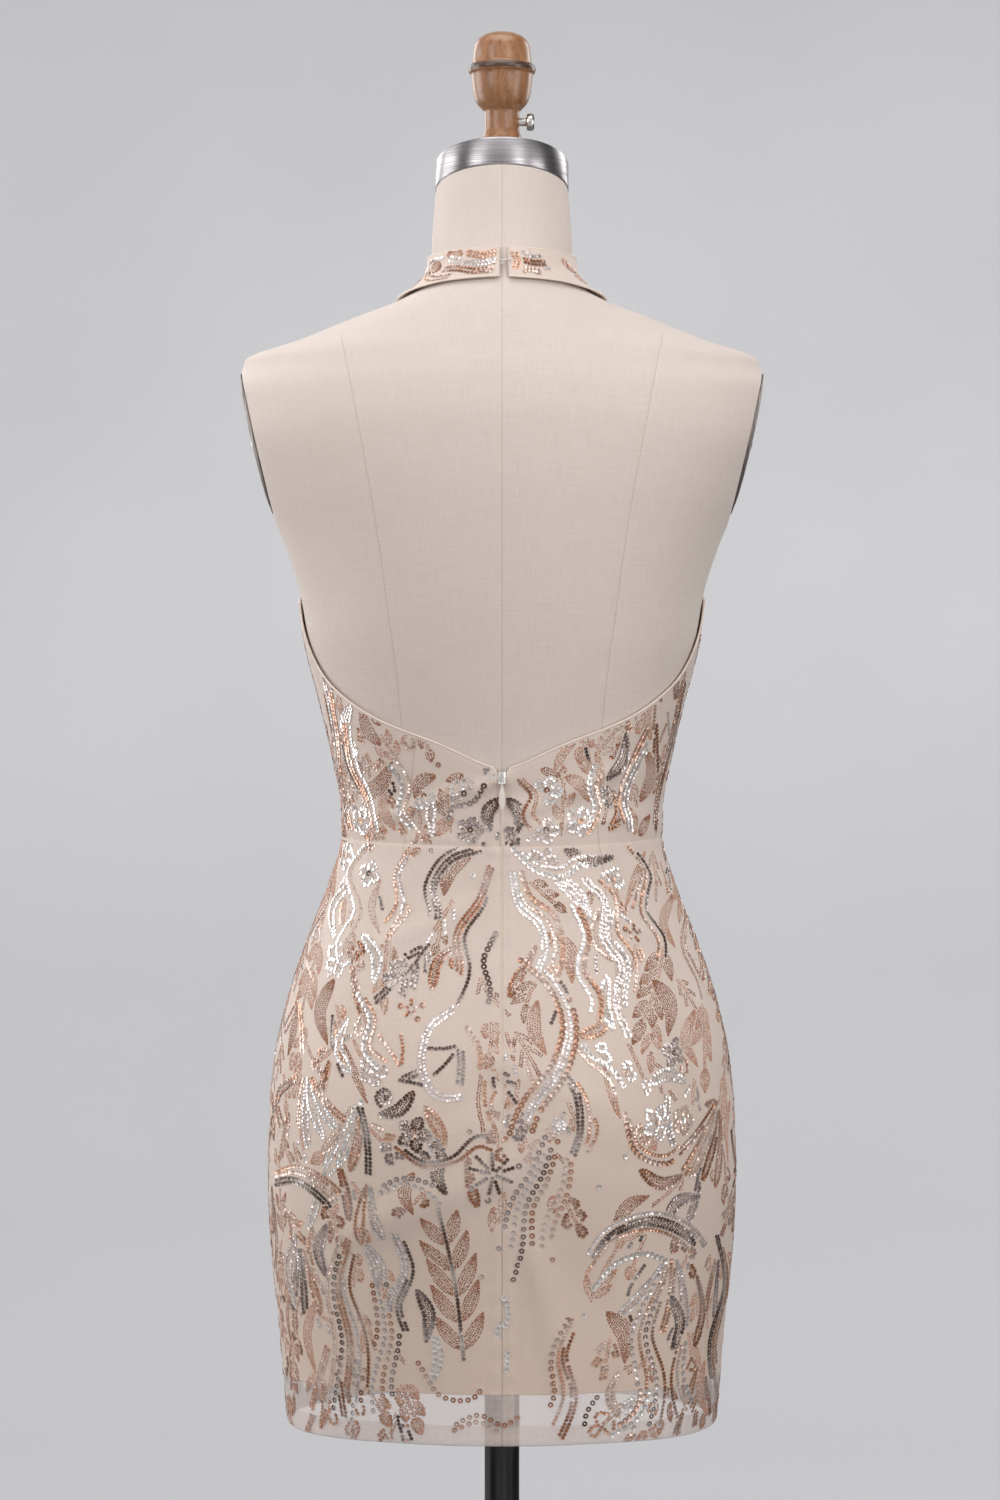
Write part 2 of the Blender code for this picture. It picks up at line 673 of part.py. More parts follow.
# ---- the dress form -----------------------------------------------------------------------------
def form_ring(z, shrink):
    ring = []
    for i in range(COLUMNS_FORM):
        angle = 360 * i / COLUMNS_FORM
        point = skin(angle, z) - FORM_SINK * outward(angle, z)
        ring.append(Vector((point.x * shrink, point.y * shrink, point.z)))
    return ring


def form_heights():
    """Ring heights, as far apart as the shape there allows."""
    zones = [
        (FORM_BOTTOM_Z + FORM_BOTTOM_ROUND, 0.97, 7),
        (0.97, 1.13, 8),
        (1.13, 1.27, 8),
        (1.27, 1.365, 5),
        (1.365, 1.446, 9),
        (1.446, NECK_TOP_Z, 4),
    ]
    heights = []
    for low, high, count in zones:
        heights += between(low, high, count)[:-1]
    return heights + [NECK_TOP_Z]


def plate_frame(side):
    """The armhole's centre, its outward direction, its long direction and its length."""
    top = Vector((side * PLATE_TOP[0], 0, PLATE_TOP[1]))
    bottom = Vector((side * PLATE_BOTTOM[0], 0, PLATE_BOTTOM[1]))
    long_way = (top - bottom).normalized()
    facing = Vector((side * long_way.z, 0, -side * long_way.x))
    return (top + bottom) / 2, facing, long_way, (top - bottom).length


def make_torso(collection):
    """The covered body of the form, from its flat underside to the top of the neck."""
    rings = []
    for step in range(4):
        turn = math.radians(90 * step / 4)
        drop = FORM_BOTTOM_ROUND * (1 - math.sin(turn))
        inward = 1 - 0.085 * (1 - math.cos(math.radians(90) - turn))
        rings.append(form_ring(FORM_BOTTOM_Z + FORM_BOTTOM_ROUND - drop, inward))
    rings += [form_ring(z, 1.0) for z in form_heights()]
    mesh = surface_mesh("form_torso", rings, closed_ring=True)
    shape = bmesh.new()
    shape.from_mesh(mesh)
    for side in (-1, 1):
        armhole_centre, facing = plate_frame(side)[:2]
        parts = shape.verts[:] + shape.edges[:] + shape.faces[:]
        cut = bmesh.ops.bisect_plane(
            shape,
            geom=parts,
            plane_co=armhole_centre,
            plane_no=facing,
            clear_outer=True,
            dist=0.01 * MM,
        )
        rim = [item for item in cut["geom_cut"] if isinstance(item, bmesh.types.BMEdge)]
        bmesh.ops.contextual_create(shape, geom=rim)
    bmesh.ops.recalc_face_normals(shape, faces=shape.faces)
    shape.to_mesh(mesh)
    shape.free()
    put(bpy.data.objects.new("form_torso", mesh), collection, LINEN)


def make_arm_plate(name, side, collection):
    """A domed oval plate that closes an armhole."""
    centre, facing, long_way, length = plate_frame(side)
    half_length = length / 2 - PLATE_INSET
    profile = []
    for degrees in between(0, 90, 6):
        slope = math.radians(degrees)
        height = PLATE_RIM + (PLATE_DOME - PLATE_RIM) * math.cos(slope)
        profile.append((half_length * math.sin(slope), height))
    profile += [(half_length, 0.0), (0.0, 0.0)]
    plate = turned(name, profile, 32, STEEL, collection)
    narrow = Matrix.Diagonal((1.0, PLATE_HALF_DEPTH / half_length, 1.0, 1.0))
    bpy.context.view_layer.update()
    mesh = bpy.data.meshes.new_from_object(
        plate.evaluated_get(bpy.context.evaluated_depsgraph_get())
    )
    plate.modifiers.clear()
    plate.data = mesh
    across = facing.cross(long_way)
    turn = Matrix((long_way, across, facing)).transposed().to_4x4()
    mesh.transform(Matrix.Translation(centre + facing * TOUCH) @ turn @ narrow)
    mesh.shade_smooth()
    mesh.set_sharp_from_angle(angle=math.radians(35))


NECK_MID_Y = SECTIONS[-1].mid
NECK_RISE = SECTIONS[-1].rise


def neck_frame():
    """Turns a piece about Z so that it stands square on the slanted top of the neck."""
    lean = Matrix.Rotation(-math.atan(NECK_RISE), 4, "X")
    return Matrix.Translation((0, NECK_MID_Y, NECK_TOP_Z)) @ lean


def make_neck_cap(collection):
    """The steel cap on the slanted top of the neck."""
    profile = [
        (0.0, CAP_HEIGHT + 1.0 * MM), (CAP_RADIUS - 16 * MM, CAP_HEIGHT + 0.8 * MM),
        (CAP_RADIUS - 3 * MM, CAP_HEIGHT), (CAP_RADIUS - 0.9 * MM, CAP_HEIGHT - 0.5 * MM),
        (CAP_RADIUS, CAP_HEIGHT - 1.6 * MM), (CAP_RADIUS, 0.8 * MM),
        (CAP_RADIUS - 0.8 * MM, TOUCH), (0.0, TOUCH),
    ]
    cap = turned("neck_cap", profile, 40, STEEL, collection)
    cap.matrix_world = neck_frame()


STEM_RADIUS = 12.6 * MM
FINIAL_FOOT_RADIUS = 14.6 * MM

# The turned finial, from the top of its dome down to its foot, which the cap's slant cuts off.
ProfilePoint = namedtuple("ProfilePoint", "radius z")
FINIAL = [
    ProfilePoint(0.0, 1.6206), ProfilePoint(6.5 * MM, 1.6201), ProfilePoint(12.5 * MM, 1.6184),
    ProfilePoint(17.2 * MM, 1.6152), ProfilePoint(20.0 * MM, 1.6105), ProfilePoint(21.0 * MM, 1.6040),
    ProfilePoint(22.0 * MM, 1.5975), ProfilePoint(23.6 * MM, 1.5958), ProfilePoint(24.6 * MM, 1.5930),
    ProfilePoint(24.2 * MM, 1.5900), ProfilePoint(22.6 * MM, 1.5882), ProfilePoint(21.8 * MM, 1.5830),
    ProfilePoint(20.8 * MM, 1.5760), ProfilePoint(18.3 * MM, 1.5690), ProfilePoint(14.4 * MM, 1.5645),
    ProfilePoint(12.7 * MM, 1.5620), ProfilePoint(STEM_RADIUS, 1.5480), ProfilePoint(13.4 * MM, 1.5440),
    ProfilePoint(FINIAL_FOOT_RADIUS, 1.5400), ProfilePoint(FINIAL_FOOT_RADIUS, 1.5000),
    ProfilePoint(0.0, 1.5000),
]
SCREW_SHAFT_RADIUS = 3.0 * MM
SCREW_HEAD_RADIUS = 6.3 * MM
SCREW_DEPTH = 7.0 * MM
SCREW_NECK = 5.6 * MM                # from the stem out to the screw's head
SCREW_HEAD = 5.0 * MM


def make_finial(collection, cutters):
    """The turned wooden finial, cut to the slant of the cap it stands on."""
    finial = turned("finial", FINIAL, 26, WOOD, collection)
    finial.location = (0, NECK_MID_Y, 0)
    top_of_cap = CAP_HEIGHT + 1.0 * MM + TOUCH
    foot = block("finial_foot_cut", (-0.1, -0.1, -0.1), (0.1, 0.1, top_of_cap))
    foot.matrix_world = neck_frame()
    hide_as_cutter(foot, cutters)
    hole_floor = Vector((STEM_RADIUS - SCREW_DEPTH, NECK_MID_Y, SCREW_Z))
    hole_mouth = Vector((STEM_RADIUS + 2 * MM, NECK_MID_Y, SCREW_Z))
    hole = rod("screw_hole", SCREW_SHAFT_RADIUS + TOUCH, hole_floor, hole_mouth, 20)
    hide_as_cutter(hole, cutters)
    for cutter in (foot, hole):
        add_modifier(finial, "BOOLEAN", "cut", operation="DIFFERENCE", object=cutter)


def make_neck_screw(collection):
    """The thumbscrew in the side of the finial's stem."""
    inner = STEM_RADIUS - SCREW_DEPTH + TOUCH
    neck = STEM_RADIUS + SCREW_NECK
    head = neck + SCREW_HEAD
    profile = [
        (0.0, head), (SCREW_HEAD_RADIUS - 1.6 * MM, head),
        (SCREW_HEAD_RADIUS, head - 1.4 * MM), (SCREW_HEAD_RADIUS, neck + 1.2 * MM),
        (SCREW_HEAD_RADIUS - 0.8 * MM, neck), (SCREW_SHAFT_RADIUS, neck),
        (SCREW_SHAFT_RADIUS, inner), (0.0, inner),
    ]
    screw = turned("neck_screw", profile, 24, NICKEL, collection)
    screw.location = (0, NECK_MID_Y, SCREW_Z)
    screw.rotation_euler = (0, math.radians(90), 0)


def make_stand(collection):
    """The pole, the flange that carries the form on it, and the round base."""
    socket = POLE_RADIUS + TOUCH
    base_profile = [
        (0.0, SOCKET_FLOOR), (socket, SOCKET_FLOOR), (socket, HUB_TOP), (HUB_RADIUS - 3 * MM, HUB_TOP),
        (HUB_RADIUS, HUB_TOP - 3 * MM), (HUB_RADIUS, 20 * MM), (HUB_RADIUS + 6 * MM, 15 * MM),
        (0.55 * BASE_RADIUS, 12.5 * MM), (BASE_RADIUS - 6 * MM, 9 * MM),
        (BASE_RADIUS - 1 * MM, 6.5 * MM), (BASE_RADIUS, 4 * MM), (BASE_RADIUS, 0.0), (0.0, 0.0),
    ]
    turned("base", base_profile, 40, BLACK, collection)
    top = FORM_BOTTOM_Z - TOUCH
    pole = rod("pole", POLE_RADIUS, (0, 0, SOCKET_FLOOR + TOUCH), (0, 0, top), 28)
    adopt(pole, collection, BLACK)
    sleeve_foot = top - FLANGE_HEIGHT
    flange_profile = [
        (socket, top), (FLANGE_RADIUS, top), (FLANGE_RADIUS, top - 4 * MM),
        (SLEEVE_RADIUS + 1 * MM, top - 7 * MM), (SLEEVE_RADIUS, sleeve_foot),
        (socket, sleeve_foot), (socket, top),
    ]
    turned("pole_flange", flange_profile, 28, BLACK, collection)


def clear_scene():
    for obj in list(bpy.data.objects):
        bpy.data.objects.remove(obj)


def main():
    clear_scene()
    dress = fresh_collection("Cocktail dress on a dress form")
    cutters = fresh_collection("Cutters")
    make_skirt(dress)
    bodice_back("bodice_back_right", 0, 90, dress)
    bodice_back("bodice_back_left", 270, 360, dress)
    make_bodice_front(dress)
    make_neckband(dress)
    make_zip_chain(dress)
    make_zip_slider(dress)
    make_zip_pull(dress, cutters)
    make_hook_and_eye(dress)
    make_torso(dress)
    make_arm_plate("arm_plate_right", 1, dress)
    make_arm_plate("arm_plate_left", -1, dress)
    make_neck_cap(dress)
    make_finial(dress, cutters)
    make_neck_screw(dress)
    make_stand(dress)


main()
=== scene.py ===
# %% [markdown]
# # A sequinned halter dress on its dress form
# The real dress is sheer net sewn with sequins and worn over a nude lining. Its shape comes from its
# cut and from the form under it, so every piece here is laid on one "skin": the outside of a body of
# that size. CAD gives the frame in metres, and each piece takes its place from it with no fitting.

# %% The frame
import json
import math

import bpy
import numpy as np
from mathutils import Matrix, Vector

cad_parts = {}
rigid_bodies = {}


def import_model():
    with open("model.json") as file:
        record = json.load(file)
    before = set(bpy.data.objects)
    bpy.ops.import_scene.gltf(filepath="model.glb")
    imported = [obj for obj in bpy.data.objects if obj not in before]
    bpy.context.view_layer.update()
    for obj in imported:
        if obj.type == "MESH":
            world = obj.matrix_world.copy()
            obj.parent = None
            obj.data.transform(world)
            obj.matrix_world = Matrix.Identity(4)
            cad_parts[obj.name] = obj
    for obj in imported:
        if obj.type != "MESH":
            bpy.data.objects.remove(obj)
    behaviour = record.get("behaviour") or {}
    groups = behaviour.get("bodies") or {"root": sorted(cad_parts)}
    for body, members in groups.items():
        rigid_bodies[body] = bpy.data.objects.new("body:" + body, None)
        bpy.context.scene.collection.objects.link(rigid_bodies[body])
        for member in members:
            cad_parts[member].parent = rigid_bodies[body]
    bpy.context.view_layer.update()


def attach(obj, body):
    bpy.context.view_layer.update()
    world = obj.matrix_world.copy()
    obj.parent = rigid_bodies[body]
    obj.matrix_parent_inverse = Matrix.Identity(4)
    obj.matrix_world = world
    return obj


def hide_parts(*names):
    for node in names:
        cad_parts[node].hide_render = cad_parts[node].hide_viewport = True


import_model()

MM = 0.001

# %% [markdown]
# ## The camera
# A long lens from 2.7 metres keeps upright lines upright, as for a garment on a stand. It is level
# with the small of the back, just above the waist, and faces the zip.

# %% The camera
camera = bpy.data.objects.new("camera", bpy.data.cameras.new("camera"))
bpy.context.scene.collection.objects.link(camera)
bpy.context.scene.camera = camera
camera.data.lens = 90
camera.data.sensor_width = 36
camera.location = (-0.0014, -2.7, 1.10)
camera.rotation_euler = (math.radians(90), 0, 0)

# %% [markdown]
# ## The skin
# A form is drawn as a stack of level sections. Each row here gives a height, half the width, the depth
# in front of and behind the widest line, how far forward that line lies, how square the section is
# (2 is an ellipse), and how much its plane rises to the back. A smooth curve joins the rows. An angle
# of 0 is the centre back, 90 the right side seam, 180 the centre front and 270 the left side seam.

# %% The skin
SECTIONS = np.array([
    (0.600, 0.1488, 0.1070, 0.1120, 0.000, 2.20, 0.00), (0.640, 0.1529, 0.1085, 0.1140, 0.000, 2.20, 0.00),
    (0.690, 0.1571, 0.1095, 0.1160, 0.000, 2.20, 0.00), (0.740, 0.1622, 0.1100, 0.1185, 0.000, 2.20, 0.00),
    (0.790, 0.1648, 0.1090, 0.1215, 0.000, 2.20, 0.00), (0.835, 0.1640, 0.1075, 0.1225, 0.000, 2.18, 0.00),
    (0.877, 0.1605, 0.1060, 0.1180, 0.000, 2.15, 0.00), (0.920, 0.1512, 0.1035, 0.1080, 0.000, 2.12, 0.00),
    (0.963, 0.1370, 0.0990, 0.0955, 0.000, 2.10, 0.00), (1.006, 0.1206, 0.0930, 0.0840, 0.000, 2.08, 0.00),
    (1.035, 0.1127, 0.0890, 0.0800, 0.000, 2.06, 0.00), (1.057, 0.1130, 0.0885, 0.0795, 0.000, 2.06, 0.00),
    (1.093, 0.1190, 0.0925, 0.0825, 0.000, 2.10, 0.00), (1.136, 0.1290, 0.0985, 0.0900, 0.000, 2.15, 0.00),
    (1.179, 0.1400, 0.1010, 0.0970, 0.000, 2.20, 0.00), (1.208, 0.1444, 0.1010, 0.1010, 0.000, 2.20, 0.00),
    (1.251, 0.1580, 0.1020, 0.1050, 0.000, 2.15, 0.00), (1.290, 0.1770, 0.1010, 0.1070, 0.000, 2.05, 0.00),
    (1.330, 0.1930, 0.0930, 0.1050, 0.000, 1.95, 0.00), (1.358, 0.1945, 0.0790, 0.0990, 0.000, 1.85, 0.00),
    (1.374, 0.1870, 0.0670, 0.0930, 0.000, 1.75, 0.00), (1.381, 0.1845, 0.0620, 0.0895, 0.000, 1.72, 0.00),
    (1.395, 0.1465, 0.0550, 0.0830, 0.000, 1.72, 0.00), (1.410, 0.1090, 0.0520, 0.0750, 0.000, 1.78, 0.00),
    (1.424, 0.0725, 0.0505, 0.0660, 0.000, 1.90, 0.00), (1.432, 0.0600, 0.0500, 0.0605, 0.001, 1.96, 0.00),
    (1.446, 0.0512, 0.0495, 0.0535, 0.003, 2.00, 0.00), (1.462, 0.0510, 0.0485, 0.0505, 0.007, 2.00, 0.00),
    (1.482, 0.0500, 0.0475, 0.0485, 0.013, 2.00, 0.10), (1.505, 0.0482, 0.0474, 0.0479, 0.020, 2.00, 0.27),
])
BUST = dict(x=0.083, z=1.190, up=0.052, down=0.032, across=0.042, out=0.036)
SEAT = dict(x=0.068, z=0.832, up=0.055, down=0.050, across=0.050, out=0.007)


def curve_between(values, slopes, i, s, step):
    """The curve from row i to the next at a share s of the step between them."""
    here = (1 + 2 * s) * (1 - s) ** 2 * values[i] + s * (1 - s) ** 2 * step * slopes[i]
    return here + s * s * (3 - 2 * s) * values[i + 1] + s * s * (s - 1) * step * slopes[i + 1]


def smooth_curve(keys, values, at):
    """A curve through a table's rows that never swings past them."""
    keys, values = np.asarray(keys, float), np.asarray(values, float)
    steps = np.diff(keys)
    slopes = np.diff(values) / steps
    before, after = slopes[:-1], slopes[1:]
    same_way = before * after > 0
    middle = np.where(same_way, 2 * before * after / np.where(same_way, before + after, 1), 0)
    tangents = np.concatenate((slopes[:1], middle, slopes[-1:]))
    at = np.clip(at, keys[0], keys[-1])
    i = np.clip(np.searchsorted(keys, at, side="right") - 1, 0, len(steps) - 1)
    return curve_between(values, tangents, i, (at - keys[i]) / steps[i], steps[i])


def hill(away, width):
    return np.exp(-((away / width) ** 2))


def mound(form, x, z):
    reach = np.where(z > form["z"], form["up"], form["down"]) * math.sqrt(2)
    pair = sum(hill(x - side * form["x"], form["across"] * math.sqrt(2)) for side in (-1, 1))
    return form["out"] * hill(z - form["z"], reach) * pair


def skin(angle, z):
    """Points of the skin at angles round the body, in degrees, and heights."""
    angle, z = np.broadcast_arrays(np.asarray(angle, float), np.asarray(z, float))
    half, front, back, mid, square, rise = (
        smooth_curve(SECTIONS[:, 0], SECTIONS[:, k], z) for k in range(1, 7)
    )
    turn = np.radians(angle)
    forward = -np.cos(turn)
    depth = np.where(forward > 0, front, back)
    heading = np.arctan2(half * np.sin(turn), depth * forward)
    sideways, lengthways = np.abs(np.sin(heading)) / half, np.abs(np.cos(heading)) / depth
    radius = (sideways ** square + lengthways ** square) ** (-1 / square)
    x, y = radius * np.sin(heading), radius * np.cos(heading)
    y = y + np.abs(y) / depth * np.where(forward > 0, mound(BUST, x, z), -mound(SEAT, x, z))
    return np.stack((x, mid + y, z - rise * y), -1)


def unit(vectors):
    return vectors / np.maximum(np.linalg.norm(vectors, axis=-1, keepdims=True), 1e-12)


def degree_long(angle, z):
    """How long one degree round the skin is, in metres."""
    return np.linalg.norm(skin(np.add(angle, 0.5), z) - skin(np.subtract(angle, 0.5), z), axis=-1)


def outward(angle, z):
    """The directions that point off the skin."""
    across = skin(np.add(angle, 0.5), z) - skin(np.subtract(angle, 0.5), z)
    return unit(np.cross(across, skin(angle, np.add(z, MM)) - skin(angle, np.subtract(z, MM))))


print("waist, skin to skin:", round(float(2 * skin(90, 1.037)[0]), 3), "m wide")

# %% [markdown]
# ## Flat measures on a round body
# Cloth is cut and sewn flat, so seams, creases and sequins are placed in flat measures: millimetres
# round the body from the centre back, and millimetres up from the hem. A table of lengths round the
# skin at each height turns one into the other.

# %% Flat measures
HEM_Z, WAIST_Z, UNDERARM_Z = 0.620, 1.037, 1.205
WAIST_DIP = 5 * MM
FIRST_ANGLE, FIRST_MM, FIRST_HEIGHT, HEIGHT_STEP = -270.0, -720.0, 0.60, 0.005
ROUND_ANGLES = np.arange(FIRST_ANGLE, 271.0)
ROUND_HEIGHTS = np.arange(FIRST_HEIGHT, 1.4601, HEIGHT_STEP)
ROUND_MM = np.arange(FIRST_MM, 721.0)


def lengths_round():
    rings = skin(ROUND_ANGLES[None, :], ROUND_HEIGHTS[:, None])
    steps = np.linalg.norm(np.diff(rings, axis=1), axis=2) * 1000
    along = np.concatenate((np.zeros((len(rings), 1)), np.cumsum(steps, axis=1)), axis=1)
    return along - along[:, 270:271]


LENGTHS = lengths_round()
ANGLES_BACK = np.array([np.interp(ROUND_MM, row, ROUND_ANGLES) for row in LENGTHS])


def look_up(table, first, column, z):
    """A value between the cells of a table of heights and columns."""
    column, z = np.broadcast_arrays(np.asarray(column, float), np.asarray(z, float))
    c = np.clip(column - first, 0, table.shape[1] - 1.001)
    r = np.clip((z - FIRST_HEIGHT) / HEIGHT_STEP, 0, table.shape[0] - 1.001)
    ci, ri = c.astype(int), r.astype(int)
    cs, rs = c - ci, r - ri
    low = table[ri, ci] * (1 - cs) + table[ri, ci + 1] * cs
    high = table[ri + 1, ci] * (1 - cs) + table[ri + 1, ci + 1] * cs
    return low * (1 - rs) + high * rs


def length_to(angle, z):
    return look_up(LENGTHS, FIRST_ANGLE, angle, z)


def millimetres_round(angle, z):
    return length_to((np.asarray(angle, float) + 180) % 360 - 180, z)


def angle_round(millimetres, z):
    return look_up(ANGLES_BACK, FIRST_MM, millimetres, z)


print("hip round:", round(float(2 * length_to(180.0, 0.82))), "mm")

# %% [markdown]
# ## Creases
# Real cloth on a form is never as smooth as the form. The skirt has soft flutes at the hem, it is
# drawn in along its seams and darts, and it pulls in faint lines between the zip, the waist and the
# hips. Each crease is a row of a table: where it starts and ends, how wide it is and how far it
# stands out or sinks in.

# %% Creases
FLUTE_TOP_Z = 0.775
# The angle of each flute, half its width in degrees, and how far out it goes at the hem.
FLUTES = [(24, 10, -1.6), (52, 13, 1.8), (104, 12, -2.0), (138, 14, 2.2), (176, 12, -1.8),
          (214, 13, 2.4), (252, 12, -1.6), (301, 13, 1.6), (333, 11, -2.0)]
# Round and up where it starts, round and up where it ends, half its width, and out; millimetres.
CREASES = [
    (-70, 408, -83, 298, 1.6, -0.50), (70, 408, 83, 298, 1.6, -0.50),
    (-66, 404, -78, 300, 7.0, 1.2), (74, 404, 88, 300, 7.0, 1.2),
    (-4, 250, -62, 214, 9.0, -0.90), (4, 262, 58, 240, 10.0, 1.9), (3, 226, 84, 196, 11.0, -0.70),
    (-10, 186, -96, 150, 13.0, 2.5), (12, 158, 66, 96, 12.0, -0.80), (24, 130, 44, 40, 10.0, 3.0),
    (-30, 110, -40, 26, 12.0, -0.90), (7, 196, 10, 60, 3.4, -0.35), (-8, 190, -9, 84, 3.0, -0.25),
    (40, 372, 96, 352, 6.0, 1.6), (-30, 366, -84, 344, 6.5, 1.6), (-96, 398, -60, 386, 4.0, -0.50),
    (100, 396, 132, 376, 5.0, 1.5), (-14, 455, -72, 436, 5.0, 2.1), (10, 450, 66, 438, 5.0, -0.60),
    (16, 438, 74, 462, 6.0, 1.8), (-22, 424, -84, 428, 4.0, -0.60), (30, 426, 100, 432, 4.0, 1.5),
    (-80, 448, -118, 500, 7.0, 1.6), (84, 452, 122, 506, 7.0, -0.55), (-150, 300, -176, 196, 12.0, -0.9),
    (152, 286, 182, 176, 12.0, 2.5), (200, 410, 236, 330, 9.0, 2.2), (-206, 408, -240, 322, 9.0, -0.8),
    (262, 396, 330, 340, 10.0, 2.2), (-270, 398, -322, 350, 10.0, 1.9), (300, 250, 420, 214, 13.0, -1.0),
    (-290, 236, -400, 190, 13.0, 2.5), (256, 170, 300, 60, 14.0, 3.0), (-262, 150, -290, 50, 14.0, -1.1),
    (210, 440, 250, 520, 7.0, 2.2), (-214, 436, -252, 512, 7.0, -0.7), (262, 424, 276, 536, 2.0, -0.5),
    (-262, 424, -276, 536, 2.0, -0.5), (236, 560, 270, 590, 7.0, -0.7), (-232, 556, -268, 592, 7.0, 1.9),
]


def waist_dip(angle):
    return WAIST_DIP * np.maximum(0.0, np.cos(np.radians(angle))) ** 2


def relief(angle, z):
    """How far creases, seams and puckers move the cloth off its plain shape, in metres."""
    across, up = millimetres_round(angle, z), (np.asarray(z, float) - HEM_Z) * 1000
    total = np.zeros(np.broadcast(across, up).shape)
    for x0, v0, x1, v1, width, out in CREASES:
        length = math.hypot(x1 - x0, v1 - v0)
        along = ((across - x0) * (x1 - x0) + (up - v0) * (v1 - v0)) / length
        off = ((across - x0) * (v1 - v0) - (up - v0) * (x1 - x0)) / length
        past = np.maximum(0, np.maximum(-along, along - length)) / (width + 10)
        total += out * hill(off, width) * hill(past, 1.0)
    from_waist = up - (WAIST_Z - HEM_Z - waist_dip(angle)) * 1000
    pucker = 0.32 * np.sin(across / 1.9 + 1.3 * np.sin(across / 13)) * hill(from_waist, 6.0)
    near_zip = hill(np.abs(across) - 5.5, 4.0) * (up < 470)
    ripple = 0.42 * np.sin(up / 2.6 + 1.7 * np.sin(up / 21)) * near_zip + 0.35 * near_zip
    total += pucker + ripple - 0.55 * hill(from_waist, 1.8)
    return total * MM


def flute_out(angle, z):
    fall = np.clip((FLUTE_TOP_Z - z) / (FLUTE_TOP_Z - HEM_Z), 0, 1) ** 1.5
    away = [(np.asarray(angle) - at + 180) % 360 - 180 for at, _, _ in FLUTES]
    return fall * sum(out * MM * hill(a, width) for a, (_, width, out) in zip(away, FLUTES))


def bridge_out(angle, z):
    """How far the bodice front spans the hollow between and under the bust."""
    angle = np.mod(angle, 360)
    level = hill(np.asarray(z) - BUST["z"], 0.045 * math.sqrt(2))
    across = hill(skin(angle, z)[..., 0], 0.036 * math.sqrt(2))
    return np.where((angle > 90) & (angle < 270), 9 * MM * level * across, 0.0)


def cloth(angle, z, lift):
    """Points of cloth that lies a given lift off the skin."""
    away = lift + flute_out(angle, z) + bridge_out(angle, z) + relief(angle, z)
    return skin(angle, z) + away[..., None] * outward(angle, z)


print(len(CREASES), "creases and", len(FLUTES), "flutes")

# %% [markdown]
# ## Helpers for meshes
# Cloth is a sheet, so it is made as a grid of points with flat measures kept in its UV map, and its
# weave then follows the cloth. Small hard pieces are made by hand with Blender's own tools.

# %% Helpers for meshes
def nothing_selected():
    if bpy.context.mode != "OBJECT":
        bpy.ops.object.mode_set(mode="OBJECT")
    bpy.ops.object.select_all(action="DESELECT")


def only(piece):
    nothing_selected()
    piece.select_set(True)
    bpy.context.view_layer.objects.active = piece
    return piece


def edit(select=None):
    """Opens the active piece's mesh, with all of it selected or none if a word says so."""
    bpy.ops.object.mode_set(mode="EDIT")
    if select:
        bpy.ops.mesh.select_all(action=select)


def done():
    bpy.ops.object.mode_set(mode="OBJECT")


def modified(piece, kind, **settings):
    """Adds a modifier with its settings to the active piece and applies it."""
    modifier = piece.modifiers.new(kind.lower(), kind)
    for key, value in settings.items():
        setattr(modifier, key, value)
    bpy.ops.object.modifier_apply(modifier=modifier.name)


def settle(piece, body, *stands_for, slot=None):
    """Applies the piece's place, puts it in the body it moves with and hides the CAD parts it stands for."""
    only(piece)
    bpy.ops.object.transform_apply(location=True, rotation=True, scale=True)
    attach(piece, body)
    if stands_for:
        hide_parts(*stands_for)
    return piece


def mesh_from(name, points, *groups):
    """A piece from its points and from groups of faces, each group with one number of sides."""
    sides = np.concatenate([np.full(len(faces), faces.shape[1]) for faces in groups])
    corners = np.concatenate([faces.ravel() for faces in groups])
    mesh = bpy.data.meshes.new(name)
    mesh.vertices.add(len(points))
    mesh.vertices.foreach_set("co", np.ascontiguousarray(points, np.float32).ravel())
    mesh.loops.add(len(corners))
    mesh.loops.foreach_set("vertex_index", corners.astype(np.int32))
    mesh.polygons.add(len(sides))
    mesh.polygons.foreach_set("loop_start", np.r_[0, np.cumsum(sides)[:-1]].astype(np.int32))
    mesh.update(calc_edges=True)
    mesh.shade_smooth()
    piece = bpy.data.objects.new(name, mesh)
    bpy.context.scene.collection.objects.link(piece)
    return piece


def grid(name, points, flat, ring=False):
    """A sheet through a grid of points, rows upwards, with its flat measures as UVs in metres.

    A closed ring has one more column of measures. They run both ways from its first column.
    """
    rows, columns = points.shape[:2]
    corners = np.arange(rows * columns).reshape(rows, columns)
    corners = np.c_[corners, corners[:, :1]] if ring else corners
    faces = np.stack((corners[:-1, :-1], corners[:-1, 1:], corners[1:, 1:], corners[1:, :-1]), -1)
    measures = np.stack((flat[:-1, :-1], flat[:-1, 1:], flat[1:, 1:], flat[1:, :-1]), 2)
    if ring:
        girth, half = flat[:, -1, 0], columns // 2 + 2
        measures[:, half:, :2, 0] -= girth[:-1, None, None]
        measures[:, half:, 2:, 0] -= girth[1:, None, None]
    piece = mesh_from(name, points.reshape(-1, 3), faces.reshape(-1, 4))
    layer = piece.data.uv_layers.new(name="cloth")
    layer.data.foreach_set("uv", measures.astype(np.float32).ravel())
    return piece


def walled(piece, wall, offset=1.0):
    modified(only(piece), "SOLIDIFY", thickness=wall, offset=offset)
    return piece


